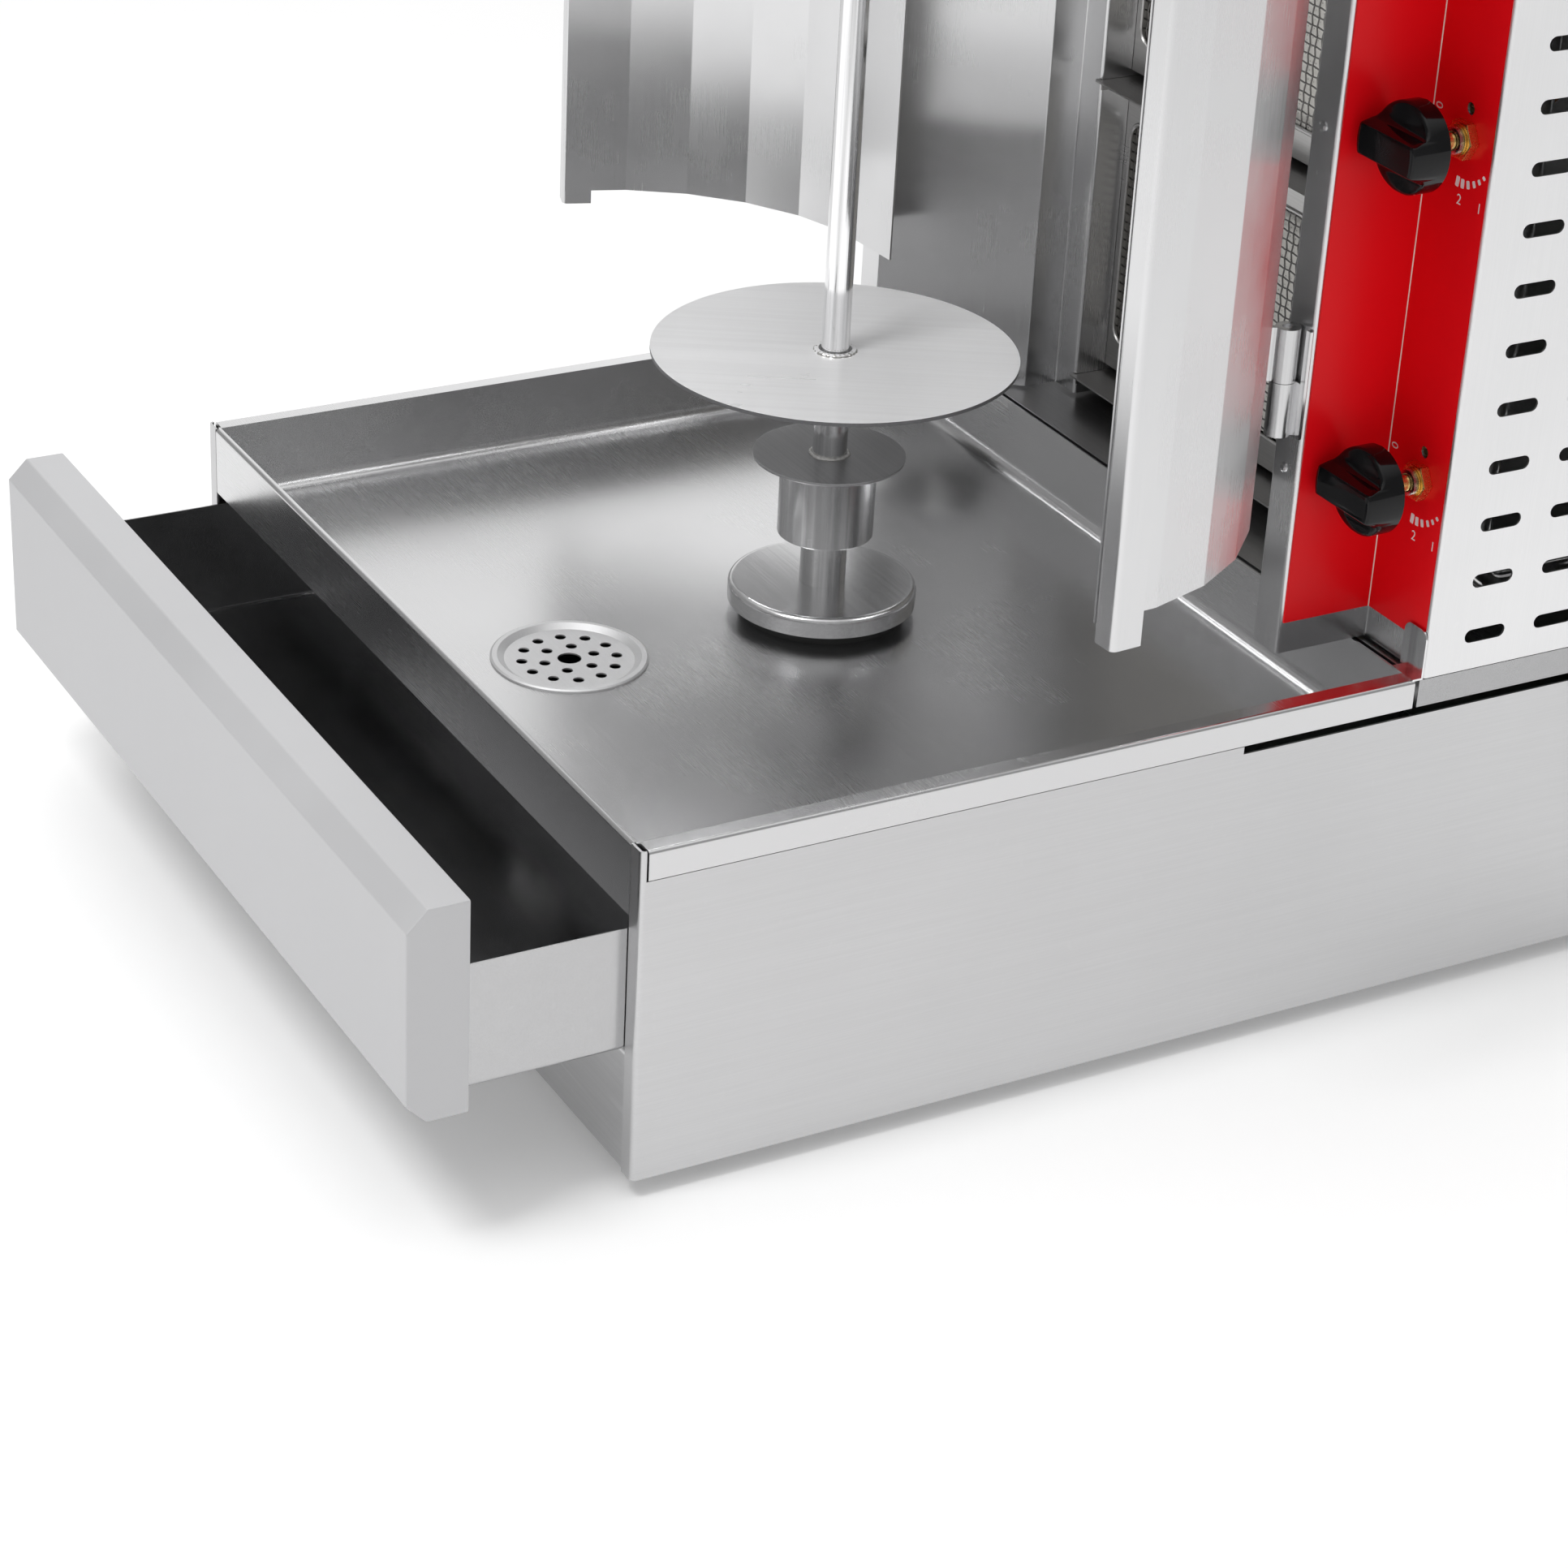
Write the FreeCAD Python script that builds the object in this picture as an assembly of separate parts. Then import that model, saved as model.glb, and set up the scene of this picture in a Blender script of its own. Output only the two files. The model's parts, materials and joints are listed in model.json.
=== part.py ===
"""Gas doner kebab grill: base box with grease drawer, drip tray, driven spit and an upright
burner column with two hinged heat shields. Millimetres, +Z up, +X to the right of the operator,
+Y towards the rear. The origin is on the table surface, under the centre of the base box."""

import FreeCAD, Part
import math
import os
from FreeCAD import Vector

# Overall sizes
base_width = 510.0
base_depth = 600.0
base_height = 171.0
foot_height = 10.0
foot_radius = 16.0
foot_inset = 46.0
column_setback = 418.0

# Clearances
seat_gap = 0.3
slip_fit = 0.05
running_fit = 0.08
drill_reach = 9.0

# Base shell and tray sheet
base_sheet = 1.2
corner_flange = 10.0
bend_radius = 1.5
drawer_sill_height = 62.6
sill_return = 12.0
floor_upturn = 12.0
side_slot_start = 318.0
side_slot_height = 4.0
rim_lip = 14.7
tray_depth = 40.0
tray_sheet = 1.2
tray_bend = 7.0
tray_front_hem = 3.2
apron_height = 36.5
apron_side_gap = 0.4
tray_plinth_gap = 2.3
rim_bend = 0.8
rim_end_gap = 1.0
shaft_neck_radius = 14.0
shaft_neck_height = 5.0
plinth_apron = 30.0

# Grease drain
drain_setback = 90.0
drain_radius = 39.5
drain_hole_radius = 35.5
drain_neck_height = 6.0
sieve_disc_radius = 32.5
sieve_bead = 1.4
sieve_bead_width = 3.5
sieve_crown = 0.2
sieve_shoulder = 1.0
sieve_sheet = 0.8
sieve_drop = 0.6
sieve_hole_radius = 2.8
sieve_outer_ring = 24.0
sieve_inner_ring = 13.5
sieve_outer_count = 12
sieve_inner_count = 6
sieve_centre_radius = 6.0

# Grease drawer, photographed partly open
drawer_opening = 81.0
drawer_front_thickness = 30.0
drawer_front_height = 107.0
drawer_front_drop = 4.0
drawer_front_chamfer = 10.0
drawer_front_sheet = 1.2
drawer_length = 152.0
drawer_sheet = 1.0
drawer_side_gap = 0.7
drawer_top_gap = 1.8
drawer_back_drop = 10.0
runner_sheet = 1.2
runner_width = 22.0
runner_height = 16.0
runner_length = 158.0
runner_rise = 0.4
drawer_bend = 2.0

# Drive under the tray
spit_setback = 233.0
shaft_radius = 11.8
bearing_radius = 26.0
bearing_height = 14.6
bearing_shoulder = 5.0
bearing_slope = 2.0
bearing_neck_share = 0.7
bearing_clearance = 1.2
bracket_sheet = 3.0
bracket_bore_gap = 1.5
bracket_half_width = 75.0
bracket_depth = 100.0
bracket_foot = 25.0
bracket_bend = 3.0
gearbox_width = 90.0
gearbox_depth = 70.0
gearbox_height = 40.0
gearbox_corner = 5.0
gearbox_bore_depth = 12.0
shaft_end_gap = 0.5
motor_radius = 31.0
motor_height = 50.0
motor_offset = 6.0
motor_round = 3.0
collar_radius = 42.0
collar_height = 5.8

# Spit
foot_cap_radius = 48.3
foot_cap_height = 10.5
foot_cap_round = 3.0
shaft_stub = 26.8
cup_radius = 24.5
cup_height = 41.6
cup_roof = 9.5
drip_disc_radius = 38.7
drip_disc_sheet = 1.6
spit_tube_radius = 8.75
spit_tube_height = 53.4
spit_plate_radius = 92.0
spit_plate_sheet = 2.0
spit_plate_hole = 8.4
weld_ring_radius = 10.85
weld_ring_height = 1.2
weld_ring_slope = 0.5
rod_radius = 7.0
rod_above_bush = 45.0
rod_tip = 4.2

# Burner column sheets
column_sheet = 1.0
column_bend = 0.8
control_width = 49.0
control_step = 3.0
post_step = 19.0
post_step_depth = 20.0
post_front_setback = 34.0
post_wall_depth = 33.0
cheek_width = 59.0
cheek_depth = 64.0
post_flange = 19.0
post_floor_gap = 1.5
recess_return = 12.0
cover_return = 2.5
red_sheet = 0.8
red_bottom = 18.0
red_edge_inset = 2.0
red_bend = 0.3

# Cooling slots in the cover
slot_length = 24.0
slot_height = 7.0
slot_corner_share = 0.3
slot_first_setback = 34.0
slot_column_pitch = 41.8
slot_end_margin = 30.0
slot_first_height = 18.2
slot_row_pitch = 29.4
slot_top_margin = 20.0

# Burners and shelves
burner_count = 4
burner_pitch = 168.5
burner_spacing = 10.5
burner_body_depth = 45.0
burner_sheet = 1.0
window_side = 4.7
window_border = 16.0
window_corner = 10.0
wire = 1.0
wire_pitch = 11.0
mesh_margin = 2.0
ceramic_thickness = 12.0
ceramic_joint = 1.0
ceramic_setback = 7.0
shelf_sheet = 1.0
shelf_overhang = 3.0
shelf_ear = 2.5
shelf_depth = 51.0
shelf_tab = 5.5
shelf_corner = 2.4
shelf_gap = 3.6
shelf_first_height = 13.0

# Gas line
knob_side_gap = 5.5
valve_body = 22.0
valve_round = 3.0
valve_bore_gap = 1.0
valve_depth = 27.0
valve_neck_radius = 6.9
nut_flats = 17.0
nut_thickness = 5.0
nut_gap = 1.0
stem_radius = 4.0
stem_length = 46.0
stem_exposed = 20.0
valve_push = 4.0
sight_hole_radius = 3.0
sight_hole_rise = 14.1
manifold_radius = 8.0
manifold_end_gap = 6.0
pipe_radius = 3.0
pipe_bend = 10.0
pipe_reach = 22.0
venturi_radius = 10.0
venturi_wall = 1.5
venturi_mouth_radius = 14.0
venturi_flare = 14.0
venturi_entry = 4.0
venturi_setback = 31.0
injector_flats = 14.0
injector_length = 20.0
injector_gap = 4.0
injector_stand_off = 5.0
probe_radius = 1.5
probe_rise = 45.0
probe_reach = 16.0
probe_tail = 26.0
probe_sleeve = 14.0
probe_setback = 9.0
probe_hole_gap = 1.0
inlet_height = 34.0
inlet_radius = 10.4
inlet_length = 22.0
inlet_bore_radius = 6.0
inlet_hole_gap = 1.0
inlet_nut_flats = 27.0
inlet_nut_thickness = 9.0

# Knobs
knob_radius = 21.5
knob_skirt = 11.5
knob_depth = 21.2
knob_grip_width = 14.0
knob_grip_root = 18.0
knob_round = 1.4
knob_bore_depth = 14.0

# Heat shields and their hinges
shield_sheet = 1.0
shield_bend = 3.0
shield_facet = 34.5
shield_first_facet = 31.0
shield_facets = 5
shield_turn = 13.4
shield_flange = 50.0
shield_bottom = 80.0
shield_top_gap = 22.0
shield_first_heading = 18.0
shield_swing_right = 14.0
shield_reach = 12.5
shield_root_inset = 3.0
shield_flange_turn = 3.6
shield_edge_width = 15.0
shield_edge_depth = 14.0
shield_edge_drop = 8.0
shield_edge_bend = 2.0
hinge_radius = 6.2
hinge_pin_radius = 3.0
hinge_height = 54.0
hinge_first_height = 114.0
hinge_inset = 8.0
hinge_leaf = 1.5
hinge_arm = 3.0
hinge_pin_inset = 1.0
hinge_leaf_width = 16.0
hinge_play = 0.3
rivet_radius = 2.6
rivet_crown_radius = 1.4
rivet_head = 1.0
rivet_clearance = 8.0

# Roof and the upper spit bearing
cap_sheet = 1.2
cap_overhang = 1.6
cap_front_overhang = 4.0
cap_skirt = 15.0
arm_half_width = 28.0
arm_height = 20.0
arm_sheet = 2.0
arm_bend = 2.0
arm_front_margin = 28.0
arm_rear_length = 80.0
bush_radius = 10.0
bush_flange_radius = 16.0
bush_flange = 3.5
bush_height = 20.0

# Rear services on the base
service_height = 50.0
gland_side_gap = 70.0
gland_radius = 9.0
gland_bore_radius = 4.0
gland_neck_step = 2.0
gland_dome_step = 1.5
gland_round = 2.0
gland_length = 16.0
gland_nut = 4.0
switch_offset = 135.0
switch_width = 30.0
switch_height = 24.0
switch_rim = 2.0
switch_wall = 2.0
switch_body_depth = 16.0
rocker_radius = 8.0
rocker_length = 20.0
rocker_face = 5.0
rocker_tilt = 8.0
rocker_depth = 2.5
rocker_gap = 0.4
rocker_back_share = 0.5
rocker_low_share = 0.4

# Clip at the right end of the recess
clip_width = 17.0
clip_height = 25.0
clip_sheet = 1.0
clip_round_share = 0.3
clip_foot = 6.0

# Derived reference planes
half_width = base_width / 2
gland_x = half_width - gland_side_gap
front_y = -base_depth / 2
rear_y = base_depth / 2
floor_z = foot_height
rim_z = foot_height + base_height
plinth_y = front_y + column_setback
panel_top = rim_z - rim_lip - seat_gap
spit_y = front_y + spit_setback
drain_y = front_y + drain_setback
tray_floor = rim_z - tray_depth
tray_under = tray_floor - tray_sheet
tray_half = half_width - corner_flange
column_top = rim_z + shelf_first_height + burner_count * burner_pitch
post_front_y = plinth_y + post_front_setback
burner_y = post_front_y + post_step
recess_y = plinth_y + control_step
cover_front_y = recess_y - column_sheet
recess_x = half_width - control_width
flange_x = recess_x - post_flange
cheek_x = flange_x - cheek_width
niche_half_width = cheek_x - post_step
flange_y = post_front_y - post_step_depth - cheek_depth
hinge_y = flange_y - hinge_radius - seat_gap
hinge_x = flange_x + hinge_inset
valve_x = recess_x + knob_side_gap + knob_radius
burner_body_height = burner_pitch - burner_spacing
shelf_drop = burner_body_height / 2 + shelf_gap
first_burner_z = rim_z + shelf_first_height + shelf_drop
venturi_y = burner_y + venturi_setback
probe_y = burner_y - probe_setback
burner_half = niche_half_width - seat_gap
mesh_width = 2 * (burner_half - window_side)
mesh_height = burner_body_height - 2 * window_border
red_face_y = recess_y - red_sheet


def box(x0, x1, y0, y1, z0, z1):
    """Block between two opposite corners."""
    return Part.makeBox(x1 - x0, y1 - y0, z1 - z0, Vector(x0, y0, z0))


def rod(radius, start, axis, length):
    """Round bar from a start point along an axis."""
    return Part.makeCylinder(radius, length, Vector(*start), Vector(*axis))


def drilling_y(radius, x, y, z):
    """Cutter along Y that passes well through a sheet at a point."""
    return rod(radius, (x, y - drill_reach, z), (0, 1, 0), 2 * drill_reach)


def tube(outer, inner, start, axis, length):
    """Round bar with a through bore."""
    return rod(outer, start, axis, length).cut(rod(inner, start, axis, length))


def prism(points, travel):
    """Flat outline pushed along a vector."""
    corners = [Vector(*p) for p in points]
    return Part.Face(Part.makePolygon(corners + corners[:1])).extrude(Vector(*travel))


def hexagon(flats, start, axis_y, length):
    """Hexagonal bar along Y."""
    radius = flats / math.sqrt(3)
    corners = []
    for k in range(6):
        turn = math.radians(60 * k)
        corners.append((start[0] + radius * math.cos(turn), start[1], start[2] + radius * math.sin(turn)))
    return prism(corners, (0, axis_y * length, 0))


def spun(profile, x=0.0, y=0.0):
    """Solid of revolution about an upright axis from (radius, height) points."""
    face = Part.Face(Part.makePolygon([Vector(r, 0, z) for r, z in profile + profile[:1]]))
    solid = face.revolve(Vector(0, 0, 0), Vector(0, 0, 1), 360)
    solid.translate(Vector(x, y, 0))
    return solid


def mirrored(shape):
    """The same piece on the other side of the centre plane."""
    return shape.mirror(Vector(0, 0, 0), Vector(1, 0, 0))


def fused(shapes):
    """One solid from overlapping solids."""
    whole = shapes[0].multiFuse(shapes[1:]) if len(shapes) > 1 else shapes[0]
    return whole.removeSplitter()


def folded_face(points, thickness, inner_radius):
    """Section of a folded sheet. The points run along one face and the metal is on their left."""
    track = [Vector(u, v, 0) for u, v in points]
    heads = [(b - a).normalize() for a, b in zip(track, track[1:])]

    def side(offset):
        runs = []
        here = track[0] + Vector(-heads[0].y, heads[0].x, 0) * offset
        for before, after, corner in zip(heads, heads[1:], track[1:]):
            cross = before.x * after.y - before.y * after.x
            turn = math.atan2(cross, before.dot(after))
            normal_sum = Vector(-before.y - after.y, before.x + after.x, 0).normalize()
            mitre = corner + normal_sum * (offset / math.cos(turn / 2))
            radius = inner_radius + (thickness - offset if turn > 0 else offset)
            trim = radius * math.tan(abs(turn) / 2)
            start = mitre - before * trim
            end = mitre + after * trim
            inward = (after - before).normalize()
            middle = mitre + inward * (radius / math.cos(turn / 2) - radius)
            runs.append((here, start))
            runs.append((start, middle, end))
            here = end
        last = track[-1] + Vector(-heads[-1].y, heads[-1].x, 0) * offset
        runs.append((here, last))
        return runs

    face = side(0.0)
    back = [run[::-1] for run in side(thickness)][::-1]
    runs = face + [(face[-1][-1], back[0][0])] + back + [(back[-1][-1], face[0][0])]
    edges = []
    for run in runs:
        shape = Part.Arc(*run) if len(run) == 3 else Part.LineSegment(*run)
        edges.append(shape.toShape())
    return Part.Face(Part.Wire(edges))


def folded_plan(points, thickness, inner_radius, z0, z1):
    """Folded sheet whose plan outline stands upright."""
    solid = folded_face(points, thickness, inner_radius).extrude(Vector(0, 0, z1 - z0))
    solid.translate(Vector(0, 0, z0))
    return solid


def folded_side(points, thickness, inner_radius, x0, x1):
    """Folded sheet with a (y, z) section running along X."""
    solid = folded_face(points, thickness, inner_radius).extrude(Vector(0, 0, x1 - x0))
    turn = FreeCAD.Matrix(0, 0, 1, x0, 1, 0, 0, 0, 0, 1, 0, 0, 0, 0, 0, 1)
    return placed(solid, turn)


def folded_front(points, thickness, inner_radius, y0, y1):
    """Folded sheet with an (x, z) section running along Y."""
    solid = folded_face(points, thickness, inner_radius).extrude(Vector(0, 0, y1 - y0))
    turn = FreeCAD.Matrix(1, 0, 0, 0, 0, 0, -1, y1, 0, 1, 0, 0, 0, 0, 0, 1)
    return placed(solid, turn)


def placed(shape, matrix):
    """Copy of a shape under a rigid placement."""
    moved = shape.copy()
    moved.Placement = FreeCAD.Placement(matrix)
    return moved


def rounded(shape, radius, test):
    """Fillet on the edges whose middle passes the test."""
    edges = []
    for edge in shape.Edges:
        low, high = edge.ParameterRange
        if test(edge.valueAt((low + high) / 2)):
            edges.append(edge)
    return shape.makeFillet(radius, edges)


def near(value, target):
    """True where two lengths agree."""
    return abs(value - target) < 0.01


def burner_heights():
    """Centre height of each burner, lowest first."""
    return [first_burner_z + burner_pitch * k for k in range(burner_count)]


def hinge_heights():
    """Bottom of the lower and of the upper hinge."""
    low = rim_z + hinge_first_height
    shield_low = rim_z + shield_bottom
    shield_high = column_top - shield_top_gap
    return [low, shield_high - (low - shield_low) - hinge_height]


# Base box

def make_base_shell():
    """Wrap-round side and rear walls with narrow front corner flanges."""
    path = [
        (tray_half, front_y),
        (half_width, front_y),
        (half_width, rear_y),
        (-half_width, rear_y),
        (-half_width, front_y),
        (-tray_half, front_y),
    ]
    shell = folded_plan(path, base_sheet, bend_radius, floor_z, rim_z)
    corner = base_sheet + bend_radius
    x = half_width + 1
    side_cut = box(-x, x, front_y + corner, rear_y + 1, panel_top, rim_z + 1)
    slot_start = front_y + side_slot_start
    slot_cut = box(-x, x, slot_start, rear_y - corner, panel_top - side_slot_height, rim_z)
    shell = shell.cut(side_cut).cut(slot_cut)
    service_z = floor_z + service_height
    gland_hole = drilling_y(gland_radius - gland_neck_step + seat_gap, -gland_x, rear_y, service_z)
    switch_x = -switch_offset
    w = switch_width / 2 - switch_rim
    h = switch_height / 2 - switch_rim
    y0 = rear_y - drill_reach
    y1 = rear_y + drill_reach
    switch_hole = box(switch_x - w, switch_x + w, y0, y1, service_z - h, service_z + h)
    return shell.cut(gland_hole).cut(switch_hole)


def make_base_floor():
    """Bottom pan with upturned edges, standing inside the shell."""
    x = half_width - base_sheet - seat_gap
    y0 = front_y + base_sheet + seat_gap + base_sheet + seat_gap
    y1 = rear_y - base_sheet - seat_gap
    t = base_sheet
    outer = box(-x, x, y0, y1, floor_z, floor_z + floor_upturn)
    outer = rounded(outer, bend_radius, lambda p: near(abs(p.x), x) and near(p.y, y1))
    inner = box(-x + t, x - t, y0 + t, y1 - t, floor_z + t, floor_z + floor_upturn)
    return outer.cut(inner)


def make_front_panel():
    """Sill panel below the drawer, set behind the corner flanges."""
    x = half_width - base_sheet - bend_radius
    y = front_y + base_sheet + seat_gap
    top = floor_z + drawer_sill_height
    path = [(y + sill_return, top), (y, top), (y, floor_z)]
    return folded_side(path, base_sheet, bend_radius, -x, x)


def make_feet():
    """Four rubber feet with a recess for their screw."""
    feet = []
    recess = foot_radius * 0.35
    profile = [
        (recess, 0),
        (foot_radius - 2, 0),
        (foot_radius, foot_height),
        (0, foot_height),
        (0, foot_height / 2),
        (recess, foot_height / 2),
    ]
    for sx in (-1, 1):
        for sy in (-1, 1):
            feet.append(spun(profile, sx * (half_width - foot_inset), sy * (base_depth / 2 - foot_inset)))
    return feet


def make_tray():
    """Removable drip tray: deep pan, side rims with a downward lip and a hemmed front apron."""
    inner_front = front_y + tray_front_hem
    inner_rear = plinth_y - tray_plinth_gap - tray_sheet
    outer_x = tray_half + tray_sheet
    outer_front = inner_front - tray_sheet
    outer_rear = inner_rear + tray_sheet
    outer = box(-outer_x, outer_x, outer_front, outer_rear, tray_under, rim_z)
    outer = rounded(outer, tray_bend + tray_sheet, lambda p: near(p.z, tray_under))
    inner = box(-tray_half, tray_half, inner_front, inner_rear, tray_floor, rim_z + tray_depth)
    inner = rounded(inner, tray_bend, lambda p: near(p.z, tray_floor))
    pan = outer.cut(inner)
    rim_start = front_y + base_sheet + bend_radius + rim_end_gap
    right_rim = [
        (tray_half, rim_z),
        (half_width, rim_z),
        (half_width, rim_z - rim_lip),
    ]
    rim = folded_front(right_rim[::-1], tray_sheet, rim_bend, rim_start, outer_rear)
    apron_half = tray_half - apron_side_gap
    apron_path = [
        (inner_front, rim_z),
        (front_y, rim_z),
        (front_y, rim_z - apron_height),
    ]
    apron = folded_side(apron_path, tray_sheet, rim_bend, -apron_half, apron_half)
    neck = tube(shaft_neck_radius + tray_sheet, shaft_neck_radius, (0, spit_y, tray_under), (0, 0, 1),
                tray_sheet + shaft_neck_height)
    drain_neck = tube(drain_hole_radius + tray_sheet, drain_hole_radius,
                      (0, drain_y, tray_under - drain_neck_height), (0, 0, 1), tray_sheet + drain_neck_height)
    tray = fused([pan, rim, mirrored(rim), apron, neck, drain_neck])
    shaft_hole = rod(shaft_neck_radius, (0, spit_y, tray_under - 1), (0, 0, 1), tray_depth)
    drain_hole = rod(drain_hole_radius, (0, drain_y, tray_under - 1), (0, 0, 1), tray_depth)
    return tray.cut(shaft_hole).cut(drain_hole)


def make_sieve():
    """Pressed drain strainer: raised bead, flat disc, two rings of holes and a finger hole."""
    z = tray_floor
    bead_radius = drain_radius - sieve_bead_width
    top = [
        (drain_radius, z + sieve_sheet),
        (drain_radius - sieve_shoulder, z + sieve_bead),
        (bead_radius, z + sieve_bead + sieve_crown),
        (sieve_disc_radius, z - sieve_drop),
    ]
    under = [(r, h - sieve_sheet) for r, h in top[::-1]]
    under[0] = (sieve_disc_radius, z - sieve_drop - sieve_sheet)
    under[-1] = (drain_radius, z)
    middle = [(0, z - sieve_drop - sieve_sheet), (0, z - sieve_drop)]
    sieve = spun(middle + top[::-1] + under[::-1], 0, drain_y)
    low = z - drill_reach
    holes = [rod(sieve_centre_radius, (0, drain_y, low), (0, 0, 1), 2 * drill_reach)]
    for ring, count in ((sieve_outer_ring, sieve_outer_count), (sieve_inner_ring, sieve_inner_count)):
        for k in range(count):
            turn = 2 * math.pi * (k + 0.5) / count
            spot = (ring * math.cos(turn), drain_y + ring * math.sin(turn), low)
            holes.append(rod(sieve_hole_radius, spot, (0, 0, 1), 2 * drill_reach))
    return sieve.cut(holes)


def make_plinth():
    """Plate under the column with side and rear lips and a front apron behind the tray."""
    y0 = plinth_y
    lip_z = rim_z - rim_lip
    t = base_sheet
    x = half_width
    outer = box(-x, x, y0, rear_y, lip_z, rim_z)
    inner = box(-x + t, x - t, y0 + t, rear_y - t, lip_z - 1, rim_z - t)
    apron_x = tray_half
    apron = box(-apron_x, apron_x, y0, y0 + base_sheet, rim_z - plinth_apron, rim_z)
    return fused([outer.cut(inner), apron])


# Drawer

drawer_half = tray_half - drawer_side_gap
drawer_floor = floor_z + drawer_sill_height + runner_rise + runner_sheet + seat_gap
drawer_back_face = front_y - drawer_opening
drawer_side_top = tray_under - drawer_top_gap


def make_drawer_front():
    """Hollow folded drawer front with bevelled top and bottom edges."""
    top = rim_z - drawer_front_drop
    low = top - drawer_front_height
    thick = drawer_front_sheet

    def block(inset):
        y1 = drawer_back_face - inset
        y0 = drawer_back_face - drawer_front_thickness + inset
        z0 = low + inset
        z1 = top - inset
        bevel = drawer_front_chamfer - inset * (2 - math.sqrt(2))
        x = half_width - inset
        corners = [
            (-x, y1, z0),
            (-x, y0 + bevel, z0),
            (-x, y0, z0 + bevel),
            (-x, y0, z1 - bevel),
            (-x, y0 + bevel, z1),
            (-x, y1, z1),
        ]
        return prism(corners, (2 * x, 0, 0))

    return block(0.0).cut(block(thick))


def make_drawer_box():
    """Open grease pan behind the drawer front, lower at the back to pass under the drain."""
    y0 = drawer_back_face
    y1 = drawer_back_face + drawer_length
    top = drawer_side_top
    outer = box(-drawer_half, drawer_half, y0, y1, drawer_floor, top)
    bend = drawer_bend + drawer_sheet
    outer = rounded(outer, bend, lambda p: near(p.z, drawer_floor) and not near(p.y, y0))
    x = drawer_half - drawer_sheet
    front = y0 + drawer_sheet
    floor_level = drawer_floor + drawer_sheet
    inner = box(-x, x, front, y1 - drawer_sheet, floor_level, top + tray_depth)
    inner = rounded(inner, drawer_bend, lambda p: near(p.z, floor_level) and not near(p.y, front))
    back_cut = box(-x, x, y1 - drawer_sheet - 1, y1 + 1, top - drawer_back_drop, top + 1)
    return outer.cut(inner).cut(back_cut)


def make_runners():
    """Angle rails on the side walls that carry the drawer."""
    wall = half_width - base_sheet - seat_gap
    z = drawer_floor - seat_gap
    y0 = front_y + base_sheet + bend_radius + rim_end_gap
    path = [(wall, z + runner_height), (wall, z - runner_sheet), (wall - runner_width, z - runner_sheet)]
    rail = folded_front(path[::-1], runner_sheet, rim_bend, y0, y0 + runner_length)
    return [rail, mirrored(rail)]


# Spit drive

bearing_top = tray_under - bearing_clearance
bracket_top = bearing_top - bearing_height
gearbox_top = bracket_top - bracket_sheet
cap_top = tray_floor + collar_height + seat_gap + foot_cap_height
cup_bottom = cap_top + shaft_stub
cup_top = cup_bottom + cup_height
bore_top = cup_top - cup_roof
shaft_top = bore_top - seat_gap
shaft_bottom = gearbox_top - gearbox_bore_depth + shaft_end_gap
disc_top = cup_top + drip_disc_sheet
plate_bottom = disc_top + spit_tube_height
plate_top = plate_bottom + spit_plate_sheet


def make_motor_bracket():
    """Bridge over the gear motor, bolted to the base floor."""
    x = bracket_half_width
    z = floor_z + base_sheet + bracket_sheet
    path = [
        (-x - bracket_foot, z),
        (-x, z),
        (-x, bracket_top),
        (x, bracket_top),
        (x, z),
        (x + bracket_foot, z),
    ]
    y0 = spit_y - bracket_depth / 2
    bridge = folded_front(path[::-1], bracket_sheet, bracket_bend, y0, y0 + bracket_depth)
    low = bracket_top - drill_reach
    return bridge.cut(rod(shaft_radius + bracket_bore_gap, (0, spit_y, low), (0, 0, 1), 2 * drill_reach))


def make_gear_motor():
    """Gearbox hung under the bridge and the motor can below it."""
    x = gearbox_width / 2
    y = gearbox_depth / 2
    z0 = gearbox_top - gearbox_height
    housing = box(-x, x, spit_y - y, spit_y + y, z0, gearbox_top)
    housing = rounded(housing, gearbox_corner, lambda p: near(abs(p.x), x) and near(abs(p.y - spit_y), y))
    bore_low = gearbox_top - gearbox_bore_depth
    bore = rod(shaft_radius + running_fit, (0, spit_y, bore_low), (0, 0, 1), gearbox_bore_depth + 1)
    can = rod(motor_radius, (0, spit_y + motor_offset, z0 - motor_height), (0, 0, 1), motor_height)
    can = rounded(can, motor_round, lambda p: near(p.z, z0 - motor_height))
    return [housing.cut(bore), can]


def make_shaft_bearing():
    """Flanged bearing on the bridge, just under the tray."""
    low = bracket_top
    high = bearing_top
    shoulder = low + bearing_shoulder
    neck = bearing_radius * bearing_neck_share
    profile = [
        (shaft_radius + running_fit, low),
        (bearing_radius, low),
        (bearing_radius, shoulder),
        (neck, shoulder + bearing_slope),
        (neck, high),
        (shaft_radius + running_fit, high),
    ]
    return spun(profile, 0, spit_y)


def make_collar():
    """Black seal ring round the neck of the tray, under the foot cap."""
    inner = shaft_neck_radius + tray_sheet + seat_gap
    return tube(collar_radius, inner, (0, spit_y, tray_floor), (0, 0, 1), collar_height)


def make_drive_shaft():
    return rod(shaft_radius, (0, spit_y, shaft_bottom), (0, 0, 1), shaft_top - shaft_bottom)


def make_foot_cap():
    """Turned cap that sheds fat away from the neck of the tray."""
    low = cap_top - foot_cap_height
    cap = rod(foot_cap_radius, (0, spit_y, low), (0, 0, 1), foot_cap_height)
    cap = rounded(cap, foot_cap_round, lambda p: near(p.z, cap_top))
    return cap.cut(rod(shaft_radius + slip_fit, (0, spit_y, low - 1), (0, 0, 1), foot_cap_height + 2))


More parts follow.
